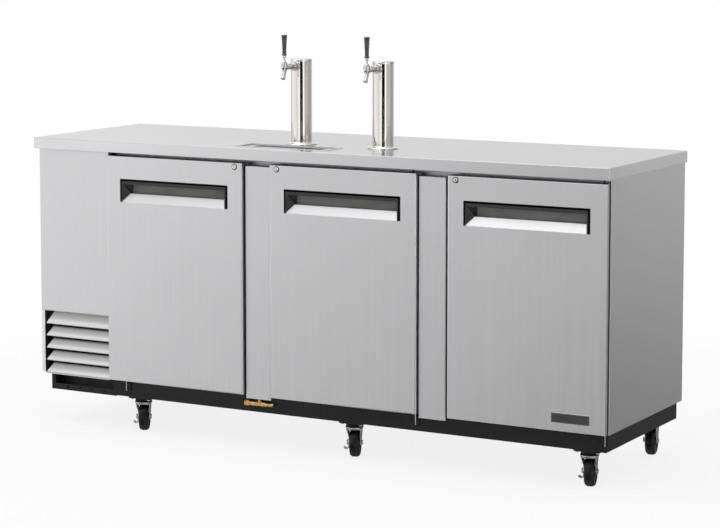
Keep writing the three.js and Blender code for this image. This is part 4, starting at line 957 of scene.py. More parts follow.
    def lock(self, i):
        low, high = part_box(f"lock_plug_{i}")
        centre = Vector(((low.x + high.x) / 2, low.y, (low.z + high.z) / 2))
        place = turn_to(-BACK, centre)
        r = 8.5 * mm
        bm = bmesh.new()
        count = 48
        slot = []
        for k in range(count):
            t = 2 * math.pi * k / count
            slot.append((max(-1.5 * mm, min(1.5 * mm, 4 * mm * math.cos(t))),
                         max(-3.8 * mm, min(3.8 * mm, 4 * mm * math.sin(t)))))
        rings = []
        for radius, height in ((r * 0.97, -23.9 * mm), (r * 0.97, -2.2 * mm), (r, -1.8 * mm),
                               (r, -1.0 * mm), (r * 0.97, -0.5 * mm), (r * 0.88, -0.1 * mm),
                               (r * 0.74, 0.0), (r * 0.70, -0.35 * mm), (r * 0.64, -0.35 * mm),
                               (r * 0.6, 0.0)):
            rings.append([bm.verts.new(place @ Vector((radius * math.cos(2 * math.pi * k / count),
                          radius * math.sin(2 * math.pi * k / count), height))) for k in range(count)])
        for height in (0.0, -2.6 * mm):
            rings.append([bm.verts.new(place @ Vector((x, y, height))) for x, y in slot])
        for a, b in zip(rings, rings[1:]):
            bridge(bm, a, b)
        bm.faces.new(rings[0][::-1])
        bm.faces.new(rings[-1])
        bmesh.ops.remove_doubles(bm, verts=bm.verts, dist=0.005 * mm)
        piece = mesh_piece(f"chrome_lock_{i}", bm)
        settled(piece, f"lock_plug_{i}", finish(chrome), [f"lock_plug_{i}"])
        piece.data.materials.append(finish(keyway_black))
        for face in piece.data.polygons:
            near = face.center - centre
            if abs(near.x) < 1.6 * mm and abs(near.z) < 3.9 * mm and near.y > 0.2 * mm:
                face.material_index = 1
        bm = bmesh.new()
        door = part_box(f"door_skin_{i}")[0].y
        lathe(bm, in_mm([(8.7, -0.6), (8.7, 0.9), (11, 0.5), (11, -0.6)]),
              turn_to(-BACK, Vector((centre.x, door, centre.z))), 40, closed=True)
        ring = mesh_piece(f"lock_seat_{i}", bm)
        settled(ring, f"door_{i}", finish(black_nylon))

    def plate(self):
        # Plain plate without lettering at the foot of the third door
        middle = Vector((1014.5 * mm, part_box("door_skin_3")[0].y, 237.5 * mm))
        upright = turn_to(-BACK, middle)
        rim = bmesh.new()
        outer = rounded_rectangle(69 * mm, 17 * mm, 3 * mm)
        extruded(rim, outer, 1.3 * mm, upright)
        rim_piece = mesh_piece("blank_plate_rim", rim)
        bevelled(rim_piece, 0.4 * mm, segments=2)
        settled(rim_piece, "door_3", finish(chrome))
        field = bmesh.new()
        extruded(field, rounded_rectangle(65.4 * mm, 13.4 * mm, 2 * mm), 1.5 * mm, upright)
        field_piece = mesh_piece("blank_plate_field", field)
        settled(field_piece, "door_3", finish(grey_abs))


class DISPENSER_OT_tray(bpy.types.Operator):
    """Make the drip tray and its lift-out grate"""
    bl_idname = "dispenser.tray"
    bl_label = "Drip tray"

    def execute(self, context):
        steel = finish(lengthwise_stainless)
        low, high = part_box("drip_tray")
        middle = foot_of("drip_tray")
        hx, hy, depth = (high.x - low.x) / 2, (high.y - low.y) / 2, high.z - low.z
        sheet = 1.2 * mm
        worktop = depth - 1.5 * mm
        levels = [
            (0, worktop + 0.3 * mm, 4), (0, depth - 0.5 * mm, 4), (0.6 * mm, depth, 4),
            (9.4 * mm, depth, 5), (11 * mm, depth - 1 * mm, 5), (11.2 * mm, worktop - 4.4 * mm, 5),
            (11.8 * mm, worktop - 5 * mm, 5), (14.6 * mm, worktop - 5 * mm, 5),
            (15.2 * mm, worktop - 5.8 * mm, 5), (15.4 * mm, 3.4 * mm, 6), (18 * mm, sheet, 8),
        ]
        under = [(16.6 * mm, 0, 8), (13.9 * mm, 3 * mm, 6), (13.9 * mm, worktop - 6.2 * mm, 5),
                 (10 * mm, worktop - 6.2 * mm, 5), (10 * mm, worktop + 0.3 * mm, 5)]
        bm = bmesh.new()
        rings = []
        for inset, z, corner in levels + under:
            outline = rounded_rectangle(hx - inset, hy - inset, corner * mm)
            rings.append([bm.verts.new(middle + Vector((p[0], p[1], z))) for p in outline])
        floor, back_wall = len(levels) - 1, len(levels)
        for k, (a, b) in enumerate(zip(rings, rings[1:] + rings[:1])):
            if k == floor:
                bm.faces.new(rings[floor])
                bm.faces.new(rings[back_wall][::-1])
                continue
            bridge(bm, a, b)
        piece = mesh_piece("pressed_drip_tray", bm)
        settled(piece, "cabinet", steel, ["drip_tray"], sharp=30)
        # The pan below the grate is wet and dark
        piece.data.materials.append(finish(keyway_black))
        for face in piece.data.polygons:
            if face.center.z < low.z + worktop - 4.6 * mm:
                face.material_index = 1
        self.grate(steel)
        return {'FINISHED'}

    def grate(self, steel):
        low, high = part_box("drip_grate")
        slots, slot, margin, end = 27, 7.6 * mm, 12 * mm, 40 * mm
        pitch = (high.x - low.x - 2 * end) / (slots - 1)
        x0, x1 = low.x + end - slot / 2, high.x - end + slot / 2
        y0, y1 = low.y + margin, high.y - margin
        bar = bmesh.new()
        web = pitch - slot
        top = soften([(0, 1 * mm), (web, 1 * mm), (web, 2 * mm), (0, 2 * mm)],
                     in_mm([0.1, 0.1, 0.4, 0.4]), 3, closed=True)
        place = Matrix.Translation((x0 + slot, y1 + 0.2 * mm, low.z)) @ Matrix.Rotation(math.pi / 2, 4, 'X')
        extruded(bar, top, y1 - y0 + 0.4 * mm, place)
        bars = grown(mesh_piece("grate_bar", bar), row_tree(), steel, Count=slots - 1, Step=(pitch, 0, 0))
        rim = bmesh.new()
        outline = rounded_rectangle((high.x - low.x) / 2, (high.y - low.y) / 2, 4 * mm, 6)
        hole = rounded_rectangle((x1 - x0) / 2, (y1 - y0) / 2, 2.4 * mm, 6)
        centre = foot_of("drip_grate")
        rings = [[rim.verts.new(centre + Vector((p[0], p[1], z))) for p in line]
                 for line, z in ((outline, 0), (outline, 2 * mm), (hole, 2 * mm), (hole, 0))]
        for a, b in zip(rings, rings[1:] + rings[:1]):
            bridge(rim, a, b)
        piece = joined("slotted_grate", [bars, mesh_piece("grate_rim", rim)])
        settled(piece, "drip_grate", steel, ["drip_grate"])
        piece.data.materials.append(finish(keyway_black))
        for face in piece.data.polygons:
            if abs(face.normal.x) > 0.7 or face.normal.z < -0.5:
                face.material_index = 1


class DISPENSER_OT_towers(bpy.types.Operator):
    """Make the tap towers, the taps, their levers and knobs"""
    bl_idname = "dispenser.towers"
    bl_label = "Towers and taps"

    def execute(self, context):
        taps = context.scene.dispenser_taps
        for i in (1, 2):
            foot = foot_of(f"tower_column_{i}")
            self.column(i, foot, taps)
            self.faucet(i, foot, taps)
            self.lever(i, foot, taps)
        return {'FINISHED'}

    def column(self, i, foot, taps):
        r, inside, top = 38 * mm, 36 * mm, 305 * mm
        profile = [
            (0, top - 3 * mm), (inside, top - 3 * mm), (inside, 5 * mm), (25 * mm, 5 * mm), (25 * mm, 0),
            (56 * mm, 0), (56 * mm, 2.4 * mm), (53.5 * mm, 5 * mm), (41 * mm, 5 * mm), (r, 8 * mm),
            (r, 13 * mm), (r, top - 8 * mm), (r, top - 6.2 * mm),
            (r + 0.1 * mm, top - 6 * mm), (r + 0.8 * mm, top - 5.6 * mm),
            (r + 0.8 * mm, top - 1.4 * mm), (r - 0.6 * mm, top - 0.1 * mm), (0, top),
        ]
        radii = in_mm([0, 0, 0, 0, 0, 0.4, 1.2, 1.2, 3, 3, 0, 0, 0, 0, 0.3, 1.2,
                 1.2, 0])
        bm = bmesh.new()
        lathe(bm, soften(profile, radii, 5), Matrix.Translation(foot), taps.steps)
        column = mesh_piece(f"polished_tower_{i}", bm)
        settled(column, "cabinet", finish(polished_stainless), [f"tower_column_{i}"],
                sharp=40)
        screw = bmesh.new()
        head = in_mm([(0, 1.6), (2, 1.4), (3.4, 0.6), (3.8, 0), (0, 0)])
        lathe(screw, head[::-1], Matrix.Translation((47 * mm, 0, 5 * mm)), 20)
        screws = mesh_piece(f"tower_screws_{i}", screw)
        grown(screws, ring_tree(), finish(chrome), Matrix.Translation(foot), Count=4, Turn=math.pi / 4)
        settled(screws, "cabinet", finish(chrome))

    def faucet(self, i, foot, taps):
        metal = finish(chrome)
        steps = taps.steps // 2
        hub = foot + UP * SHANK_HEIGHT
        forward = turn_to(-BACK, hub)
        bm = bmesh.new()
        shank = in_mm([
            (0, 22), (11, 22), (11, 38.5), (17, 38.5),
            (17, 41), (14.5, 43.3), (13, 43.3), (13, 60.3),
            (10.2, 61), (8.5, 80), (9.4, 100), (10.4, 108),
            (9.6, 118), (7, 124), (0, 125.8)])
        radii = in_mm([0, 0, 0, 0.8, 1.5, 1, 0.4, 1, 2, 12, 6, 6,
                 5, 3, 0])
        lathe(bm, soften(shank, radii, 5), forward, steps)
        # Bonnet: an upright egg through which the lever's ball passes
        bonnet = in_mm([(0, -14), (6.5, -13), (11, -6), (12, 1),
                  (11, 6.5), (11.5, 7.2), (11.5, 13.5), (10.4, 16),
                  (8.8, 16), (8.8, 7.5), (0, 7.5)])
        radii = in_mm([0, 3, 4, 4, 0.6, 0.5, 2.4, 0.8, 0.3, 0, 0])
        front = hub - BACK * FAUCET_REACH
        lathe(bm, soften(bonnet, radii, 5), Matrix.Translation(front), steps)
        vent = in_mm([(0, 0), (3, 0), (3, 9.5), (2, 12.5), (0, 14)])
        lathe(bm, soften(vent, 1.2 * mm, 3), Matrix.Translation(hub - BACK * 85 * mm), 24)
        lean = math.atan2(20, 41)
        length = math.hypot(20, 41) * mm
        spout = [
            (0, -4 * mm), (7.6 * mm, -4 * mm), (7.2 * mm, 8 * mm), (6.4 * mm, length - 9 * mm),
            (7.4 * mm, length - 7.5 * mm), (8.5 * mm, length - 6 * mm), (8.5 * mm, length - 0.4 * mm),
            (7.9 * mm, length), (6 * mm, length), (5.5 * mm, length - 0.6 * mm),
            (5.5 * mm, length - 14 * mm), (0, length - 14 * mm)]
        down = Matrix.Translation(front + BACK * 10 * mm) @ Matrix.Rotation(math.pi - lean, 4, 'X')
        radii = in_mm([0, 0, 3, 2, 1, 1, 0.5, 0.4, 0.4, 0.4, 0, 0])
        lathe(bm, soften(spout, radii, 4), down, steps)
        nut = bmesh.new()
        outline = []
        share = 2 * math.pi / taps.notches
        for k in range(taps.notches):
            middle = share * k
            for step in range(9):
                t = middle + share * (0.14 + 0.72 * step / 8)
                outline.append((16 * mm * math.cos(t), 16 * mm * math.sin(t)))
            for step in range(1, 6):
                t = middle + share * (0.86 + 0.28 * step / 6)
                dip = 16 * mm - 2.4 * mm * math.sin(math.pi * step / 6)
                outline.append((dip * math.cos(t), dip * math.sin(t)))
        extruded(nut, outline, 15 * mm, turn_to(-BACK, hub - BACK * 44.6 * mm))
        nut_piece = mesh_piece(f"notched_nut_{i}", nut)
        bevelled(nut_piece, 0.9 * mm, segments=3, angle=50)
        settled(nut_piece, "cabinet", metal)
        piece = mesh_piece(f"chrome_faucet_{i}", bm)
        settled(piece, "cabinet", metal, [f"faucet_body_{i}"], sharp=45)
        piece.data.materials.append(finish(keyway_black))
        tip = down @ Vector((0, 0, length))
        axis = (down.to_3x3() @ UP).normalized()
        for face in piece.data.polygons:
            reach = face.center - tip
            depth = -reach.dot(axis)
            if 0.8 * mm < depth < 15 * mm and (reach + axis * depth).length < 5.6 * mm:
                face.material_index = 1

    def lever(self, i, foot, taps):
        steps = taps.steps // 2
        pivot = foot + UP * HANDLE_PIVOT_HEIGHT - BACK * FAUCET_REACH
        place = Matrix.Translation(pivot)
        ball = [(8.5 * mm * math.cos(math.radians(a)), 8.5 * mm * math.sin(math.radians(a)))
                for a in range(-90, 61, 10)]
        ball[0] = (0, -8.5 * mm)
        bm = bmesh.new()
        collar = 16 * mm
        profile = ball + soften([
            (3.6 * mm, 8.2 * mm), (3.5 * mm, collar), (6.5 * mm, collar + 1.6 * mm),
            (6.5 * mm, collar + 4 * mm), (5.8 * mm, collar + 4.6 * mm), (6.4 * mm, collar + 5.4 * mm),
            (6.4 * mm, collar + 9.6 * mm), (5.6 * mm, collar + 10.2 * mm), (0, collar + 10.2 * mm)],
            0.6 * mm, 3)
        lathe(bm, profile, place, steps)
        piece = mesh_piece(f"chrome_lever_{i}", bm)
        settled(piece, f"tap_{i}", finish(chrome), [f"tap_lever_{i}"], sharp=40)
        start, top = 26.5 * mm, 98.7 * mm
        body = soften([
            (0, start), (9.3 * mm, start), (9.5 * mm, start + 1.8 * mm), (6.9 * mm, start + 6 * mm),
            (7.2 * mm, start + 20 * mm), (9.6 * mm, top - 8 * mm), (10.3 * mm, top - 6.5 * mm),
            (10.3 * mm, top - 2.4 * mm), (8.6 * mm, top - 0.4 * mm), (0, top)],
            in_mm([0, 0.6, 1, 3, 12, 1, 1, 1.6, 1.6, 0]), 5)
        # Enough rings along the flutes for them to fade in and out
        fine = []
        for a, b in zip(body, body[1:]):
            parts = max(1, int((b - a).length / (3 * mm))) if a.x > 1 * mm and b.x > 1 * mm else 1
            fine += [a + (b - a) * (k / parts) for k in range(parts)]
        fine.append(body[-1])
        low, high = start + 7 * mm, top - 8.5 * mm

        def fluted(radius, height, turn):
            fade = min(max((height - low) / (3 * mm), 0), max((high - height) / (3 * mm), 0), 1)
            groove = max(0.0, math.cos(taps.flutes * turn)) ** 1.5
            return radius - taps.flute_depth * groove * fade

        bm = bmesh.new()
        lathe(bm, fine, place, taps.steps, shape=fluted)
        piece = mesh_piece(f"fluted_knob_{i}", bm)
        settled(piece, f"tap_{i}", finish(gloss_phenolic), [f"tap_knob_{i}"], sharp=50)


def swivel_place(i):
    """Where a caster's swivel axis meets the floor."""
    xs = (-716.5 * mm, 169.5 * mm, 1057.5 * mm)
    return Vector((xs[(i - 1) % 3], (-272.5 if i < 4 else 259.5) * mm, 0))


def caster_place(i):
    """The frame of a caster, turned about its swivel axis."""
    turns = (27, 22, 14, 24, 18, 12)
    return Matrix.Translation(swivel_place(i)) @ Matrix.Rotation(math.radians(turns[i - 1]), 4, 'Z')


class DISPENSER_OT_casters(bpy.types.Operator):
    """Make the six casters and the three brakes"""
    bl_idname = "dispenser.casters"
    bl_label = "Casters"

    def execute(self, context):
        sizes = context.scene.dispenser_casters
        for i in range(1, 7):
            place = caster_place(i)
            axle = place @ Matrix.Translation((0, sizes.trail, sizes.wheel_radius))
            self.fork(i, place, axle, sizes)
            self.wheel(i, axle, sizes)
            if i < 4:
                self.brake(i, axle)
        return {'FINISHED'}

    def fork(self, i, place, axle, sizes):
        zinc = finish(zinc_plate)
        top, thick = 115.7 * mm, 8 * mm
        sheet = sizes.fork_sheet
        outside = 17.5 * mm + sheet
        bm = bmesh.new()
        head = soften([
            (0, top - thick), (29 * mm, top - thick), (32 * mm, top - 6 * mm), (32 * mm, top - 3.6 * mm),
            (29.6 * mm, top - 3.2 * mm), (29.6 * mm, top - 2.6 * mm), (31 * mm, top - 2 * mm),
            (30 * mm, top), (0, top)], 0.8 * mm, 3)
        lathe(bm, head, place, 64)
        # Crown of the fork, over the wheel
        for v in slab(bm, (-outside - 5 * mm, -23 * mm, top - thick - 4.4 * mm),
                      (outside + 5 * mm, 25 * mm, top - thick + 0.4 * mm)):
            v.co = place @ v.co
        leg_top = top - thick + 1 * mm
        outline = soften([
            (-23 * mm, leg_top), (-23 * mm, leg_top - 6 * mm), (-9 * mm, 84 * mm),
            (11 * mm, 51 * mm), (14.6 * mm, 41.6 * mm), (24 * mm, 38.2 * mm), (33.4 * mm, 41.6 * mm),
            (37 * mm, 51 * mm), (30 * mm, 84 * mm), (25 * mm, leg_top - 6 * mm), (25 * mm, leg_top)],
            in_mm([0, 4, 12, 4, 5, 5, 5, 4, 12, 6, 0]), 5, closed=True)
        plain = set(bm.verts)
        for x in (-outside, outside - sheet):
            extruded(bm, outline, sheet, place @ Matrix.Translation((x, 0, 0)) @ ACROSS)
        # The legs splay towards the crown
        back = place.inverted()
        for v in set(bm.verts) - plain:
            at = back @ v.co
            at.x += math.copysign(6.5 * mm * max(0.0, at.z - 66 * mm) / (42 * mm), at.x)
            v.co = place @ at
        turn = Matrix.Rotation(math.pi / 2, 4, 'Y')
        # Axle bolt with a washer, a hexagon head and a locknut
        lathe(bm, [(0, -outside - 8 * mm), (6 * mm, -outside - 8 * mm), (6 * mm, outside + 2 * mm),
                   (0, outside + 2 * mm)], axle @ turn, 32)
        for start, end in ((outside, outside + 5 * mm), (-outside - 9.6 * mm, -outside - 4.6 * mm)):
            extruded(bm, arc((0, 0), 9 * mm, 0, 300, 5), end - start,
                     axle @ turn @ Matrix.Translation((0, 0, start)))
        piece = mesh_piece(f"zinc_fork_{i}", bm)
        bevelled(piece, 0.6 * mm, segments=3, angle=50)
        settled(piece, f"caster_fork_{i}", zinc, [f"caster_fork_{i}"], sharp=35)
        piece.data.materials.append(finish(powder_coat))
        for face in piece.data.polygons:
            if face.center.z > top - 3.4 * mm:
                face.material_index = 1

    def wheel(self, i, axle, sizes):
        r, half, hub = sizes.wheel_radius, 16.8 * mm, 17.2 * mm
        profile = [
            (6.3 * mm, -hub), (10 * mm, -hub), (15 * mm, -hub), (17 * mm, -13.6 * mm), (20 * mm, -12.4 * mm),
            (38 * mm, -12.6 * mm), (39.4 * mm, -15 * mm), (42 * mm, -half), (45 * mm, -half),
            (50.2 * mm, -11 * mm), (r, -5 * mm), (r, 5 * mm), (50.2 * mm, 11 * mm), (45 * mm, half),
            (42 * mm, half), (39.4 * mm, 15 * mm), (38 * mm, 12.6 * mm), (20 * mm, 12.4 * mm),
            (17 * mm, 13.6 * mm), (15 * mm, hub), (10 * mm, hub), (6.3 * mm, hub)]
        radii = in_mm([0.3, 0, 0.8, 1.5, 1.5, 1, 0.6, 0.8, 2, 3,
                 3]) * 2
        radii = radii[:11] + radii[:11][::-1]
        bm = bmesh.new()
        lathe(bm, soften(profile, radii, 4, closed=True), axle @ Matrix.Rotation(math.pi / 2, 4, 'Y'), 96,
              closed=True)
        piece = mesh_piece(f"moulded_wheel_{i}", bm)
        settled(piece, f"caster_wheel_{i}", finish(tread_rubber), [f"caster_wheel_{i}"],
                sharp=50)

    def brake(self, i, axle):
        inner = 20.8 * mm
        disc = Matrix.Rotation(-math.pi / 2, 4, 'Y')
        bm = bmesh.new()
        lathe(bm, soften([(6.3 * mm, inner), (12 * mm, inner), (12 * mm, inner + 4 * mm),
                          (6.3 * mm, inner + 4 * mm)], 0.5 * mm, 2, closed=True), axle @ disc, 48,
                          closed=True)
        start = -(inner + 1.25 * mm)
        line = soften([(start, -9.6 * mm), (start, -18 * mm), (start - 11 * mm, -24 * mm),
                       (start - 18 * mm, -17 * mm)], 5 * mm, 5)
        place = axle @ Matrix.Translation((0, 8 * mm, 0)) @ Matrix.Rotation(math.pi / 2, 4, 'X')
        extruded(bm, strip(line, 4.6 * mm), 17 * mm, place)
        piece = mesh_piece(f"brake_pedal_{i}", bm)
        bevelled(piece, 0.6 * mm, segments=3, angle=50)
        settled(piece, f"brake_lever_{i}", finish(zinc_plate), [f"brake_lever_{i}"])


class DISPENSER_OT_machinery(bpy.types.Operator):
    """Dress the fans and the cooling machine inside"""
    bl_idname = "dispenser.machinery"
    bl_label = "Cooling machine"

    def execute(self, context):
        for node, body in (("condenser_fan", "condenser_fan"), ("evaporator_fan", "evaporator_fan")):
            self.fan(node, body)
        self.fins()
        self.guard()
        return {'FINISHED'}

    def fan(self, node, body):
        low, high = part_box(node)
        size = high - low
        axis = min(range(3), key=lambda a: size[a])
        centre = (low + high) / 2
        normal = Vector((0, 0, 0))
        normal[axis] = 1.0
        depth = size[axis]
        radius = max(size) / 2
        place = turn_to(normal, centre - normal * depth / 2)
        blade = bmesh.new()
        rows = []
        for r, chord, tilt in ((18 * mm, 26 * mm, 34), (36 * mm, 34 * mm, 30), (0.72 * radius, 38 * mm, 26),
                               (0.9 * radius, 36 * mm, 23), (radius * 0.985, 24 * mm, 20)):
            row = []
            for s in (-0.5, -0.25, 0, 0.25, 0.5):
                lift = math.sin(math.radians(tilt)) * chord * s
                sag = 1.6 * mm * (1 - 4 * s * s)
                row.append((chord * s * math.cos(math.radians(tilt)), r, depth * 0.48 + lift * 0.92 + sag))
            rows.append(row)
        grid = [[[blade.verts.new(Vector(p) + Vector((0, 0, z))) for p in row] for row in rows]
                for z in (-0.9 * mm, 0.9 * mm)]
        for side in grid:
            for a, b in zip(side, side[1:]):
                for k in range(4):
                    blade.faces.new((a[k], a[k + 1], b[k + 1], b[k]))
        for k in range(4):
            blade.faces.new((grid[0][0][k], grid[0][0][k + 1], grid[1][0][k + 1], grid[1][0][k]))
            blade.faces.new((grid[0][-1][k], grid[0][-1][k + 1], grid[1][-1][k + 1], grid[1][-1][k]))
            blade.faces.new((grid[0][k][0], grid[0][k + 1][0], grid[1][k + 1][0], grid[1][k][0]))
            blade.faces.new((grid[0][k][-1], grid[0][k + 1][-1], grid[1][k + 1][-1], grid[1][k][-1]))
        blades = grown(mesh_piece("fan_blade", blade), ring_tree(), finish(black_nylon), place, Count=5)
        hub = bmesh.new()
        lathe(hub, soften([(0, 1 * mm), (22 * mm, 1 * mm), (22 * mm, depth - 4 * mm), (18 * mm,
                                                                                       depth - 1 * mm),
                           (0, depth - 0.6 * mm)], 2 * mm, 4), place, 48)
        piece = joined(f"moulded_{node}", [blades, mesh_piece("fan_hub", hub)])
        settled(piece, body, finish(black_nylon), [node], sharp=40)

    def fins(self):
        # Plate fins over the condenser's face, coarser than the real 2 mm so that the piece stays light
        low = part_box("condensing_unit")[0]
        bm = bmesh.new()
        slab(bm, (low.x + 8 * mm, low.y - 0.6 * mm, low.z + 8 * mm),
             (low.x + 8.5 * mm, low.y + 5 * mm, low.z + 200 * mm))
        row = mesh_piece("condenser_fins", bm)
        grown(row, row_tree(), finish(black_enamel), Count=59, Step=(4 * mm, 0, 0))
        settled(row, "cabinet", finish(black_enamel))

    def guard(self):
        # Wire guard over the evaporator's fan
        low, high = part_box("evaporator_fan")
        centre = (low + high) / 2
        face = Vector((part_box("evaporator_case")[1].x, centre.y, centre.z))
        bm = bmesh.new()
        for r in (18, 32, 46, 60, 74, 82):
            points = [(r * mm * math.cos(t), r * mm * math.sin(t)) for t in
                      (2 * math.pi * k / 48 for k in range(48))]
            ring = [Vector((0, x, z)) + face + RIGHT * (5 * mm * (1 - (r / 82) ** 2)) for x, z in points]
            sections = []
            for k in range(48):
                out = (ring[k] - face - RIGHT * (ring[k].x - face.x)).normalized()
                sections.append([bm.verts.new(ring[k] + (out * math.cos(t) + RIGHT * math.sin(t)) * 1 * mm)
                                 for t in (math.pi / 3 * n for n in range(6))])
            for k in range(48):
                bridge(bm, sections[k], sections[(k + 1) % 48])
        piece = mesh_piece("fan_guard", bm)
        spoke = bmesh.new()
        tube(spoke, in_mm([(14, 0, 4.6), (46, 0, 3.2), (82, 0, 0)]), 1.1 * mm, 8)
        spokes = grown(mesh_piece("guard_spoke", spoke), ring_tree(), finish(zinc_plate),
                       turn_to(RIGHT, face), Count=6)
        whole = joined("evaporator_guard", [piece, spokes])
        settled(whole, "cabinet", finish(zinc_plate), sharp=60)


class DISPENSER_OT_finishes(bpy.types.Operator):
    """Give each CAD node that stays its finish"""
    bl_idname = "dispenser.finishes"
    bl_label = "Finishes"

    def execute(self, context):
        for name, maker in (("cabinet_body", stucco_aluminium), ("condensing_unit", black_enamel),
                            ("evaporator_case", stucco_aluminium)):
            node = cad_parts[name]
            node.data.materials.clear()
            node.data.materials.append(finish(maker))
        return {'FINISHED'}


class DISPENSER_OT_stage(bpy.types.Operator):
    """Make the floor, the light and the camera"""
    bl_idname = "dispenser.stage"
    bl_label = "Stage"

    def execute(self, context):
        stage = context.scene.dispenser_stage
        self.camera(context, stage)
        self.floor(context)
        self.world(context)
        self.lamp(context, stage)
        context.scene.view_settings.view_transform = 'Standard'
        return {'FINISHED'}

    def camera(self, context, stage):
        az, el = stage.azimuth, stage.elevation
        away = Vector((math.sin(az) * math.cos(el), -math.cos(az) * math.cos(el), math.sin(el)))
        data = bpy.data.cameras.new("photo_camera")
        data.sensor_width = 36
        data.lens = stage.lens
        data.shift_y = CAMERA_SHIFT
        data.clip_end = 200
        camera = bpy.data.objects.new("photo_camera", data)
        camera.location = Vector(stage.target) + away * stage.distance
        camera.rotation_euler = away.to_track_quat('Z', 'Y').to_euler()
        context.scene.collection.objects.link(camera)
        context.scene.camera = camera

    def floor(self, context):
        bm = bmesh.new()
        bmesh.ops.create_circle(bm, cap_ends=True, segments=96, radius=60)
        piece = mesh_piece("studio_floor", bm)
        material = bpy.data.materials.new("pale_studio_floor")
        material.use_nodes = True
        tree = material.node_tree
        tree.nodes.clear()
        place = add(tree, "ShaderNodeTexCoord").outputs["Object"]
        reach = add(tree, "ShaderNodeVectorMath", {0: place}, operation='LENGTH').outputs["Value"]
        near = add(tree, "ShaderNodeMapRange", {
            "Value": reach, "From Min": 1.7, "From Max": 3.2, "To Min": 1.0, "To Max": 0.0},
            interpolation_type='SMOOTHSTEP').outputs[0]
        grit = noise(tree, place, (0.4, 0.4, 0.4), detail=2)
        tone = blended(tree, grit, linear("#dcdcdb"), linear("#e0e0df"))
        paint = add(tree, "ShaderNodeBsdfDiffuse", {"Color": tone})
        glow = add(tree, "ShaderNodeEmission", {"Color": (1, 1, 1, 1), "Strength": 1.0})
        shaded = add(tree, "ShaderNodeMixShader", {
            0: 0.16, 1: glow.outputs[0], 2: paint.outputs[0]})
        seen = add(tree, "ShaderNodeMixShader", {
            0: near, 1: glow.outputs[0], 2: shaded.outputs[0]})
        ray = add(tree, "ShaderNodeLightPath").outputs
        clear = add(tree, "ShaderNodeBsdfTransparent")
        # Metal looks through the floor at the studio's lower half, and soft light bounces off it
        bounced = add(tree, "ShaderNodeMixShader", {
            0: ray["Is Glossy Ray"], 1: paint.outputs[0], 2: clear.outputs[0]})
        whole = add(tree, "ShaderNodeMixShader", {
            0: ray["Is Camera Ray"], 1: bounced.outputs[0], 2: seen.outputs[0]})
        add(tree, "ShaderNodeOutputMaterial", {"Surface": whole.outputs[0]})
        piece.data.materials.append(material)

    def world(self, context):
        # A pale studio round the object: bright to its left, grey to its right and behind it, with a
        # black flag and a narrow strip light that the polished towers show
        world = bpy.data.worlds.new("soft_studio")
        context.scene.world = world
        world.use_nodes = True
        tree = world.node_tree
        tree.nodes.clear()
        way = add(tree, "ShaderNodeTexCoord").outputs["Generated"]
        parts = add(tree, "ShaderNodeSeparateXYZ", {0: way}).outputs
        front = add(tree, "ShaderNodeMath", {0: parts["Y"], 1: -1.0}, operation='MULTIPLY').outputs[0]
        turn = add(tree, "ShaderNodeMath", {0: parts["X"], 1: front}, operation='ARCTAN2').outputs[0]
        share = add(tree, "ShaderNodeMapRange", {
            "Value": turn, "From Min": -math.pi, "From Max": math.pi}).outputs[0]
        tall = add(tree, "ShaderNodeMapRange", {"Value": parts["Z"], "From Min": -1.0,
                                                "From Max": 1.0}).outputs[0]
        # The towers mirror the half above the horizon, with the dark place of the camera in it
        upper = self.sky(tree, share, tall, (
            (-180, 0.85), (-165, 0.8), (-157, 0.82), (-149, 0.86), (-141, 0.95), (-134, 1.0),
            (-125, 0.72), (-110, 0.75), (-90, 1.1),
            (-60, 1.15), (-56, 1.1), (-30, 1.04), (-14, 0.88), (-2, 1.3), (13, 1.35), (15, 0.01), (44, 0.01),
            (46, 1.4), (60, 1.35), (64, 0.62), (80, 0.6), (86, 0.72), (105, 0.62), (118, 0.45), (150, 0.5),
            (165, 0.8), (180, 0.9)), (
            (-1, 1), (-0.1, 1), (0.05, 1.0), (0.15, 1.12), (0.3, 1.1), (0.45, 0.86), (1, 0.86)))
        # The fronts reflect the half below it: a low soft box to the left, and dark towards the floor
        lower = self.sky(tree, share, tall, (
            (-180, 1.06), (-165, 0.75), (-145, 0.92), (-130, 1.14), (-110, 1.6), (-90, 2.3), (-70, 3.4),
            (-55, 4.8), (-45, 4.9), (-37, 3.6), (-30, 1.85), (-23, 0.82), (-16, 0.46), (-2, 0.34), (16, 0.38),
            (30, 4.4), (90, 4.4), (108, 1.2), (128, 0.42), (145, 0.6), (155, 1.08), (162, 1.45),
            (170, 1.36), (180, 1.06)), (
            (-1, 0.32), (-0.6, 0.2), (-0.4, 0.15), (-0.28, 0.15), (-0.2, 0.2), (-0.15, 0.42),
            (-0.1, 1.0), (1, 1)))
        above = add(tree, "ShaderNodeMapRange", {
            "Value": parts["Z"], "From Min": HORIZON[0], "From Max": HORIZON[1]}).outputs[0]
        both = add(tree, "ShaderNodeMix", {
            "Factor": above, "A": lower, "B": upper}, data_type='RGBA').outputs["Result"]
        overhead = add(tree, "ShaderNodeMapRange", {
            "Value": parts["Z"], "From Min": 0.6, "From Max": 0.95},
            interpolation_type='SMOOTHSTEP').outputs[0]
        roof = 1.24 / SKY_RANGE ** 2
        whole_sky = add(tree, "ShaderNodeMix", {
            "Factor": overhead, "A": both, "B": (roof, roof, roof, 1)}, data_type='RGBA').outputs["Result"]
        studio = add(tree, "ShaderNodeBackground", {"Color": whole_sky, "Strength": SKY_RANGE ** 2})
        white = add(tree, "ShaderNodeBackground", {"Color": (1, 1, 1, 1), "Strength": 1.0})
        ray = add(tree, "ShaderNodeLightPath").outputs
        whole = add(tree, "ShaderNodeMixShader", {
            0: ray["Is Camera Ray"], 1: studio.outputs[0], 2: white.outputs[0]})
        add(tree, "ShaderNodeOutputWorld", {"Surface": whole.outputs[0]})

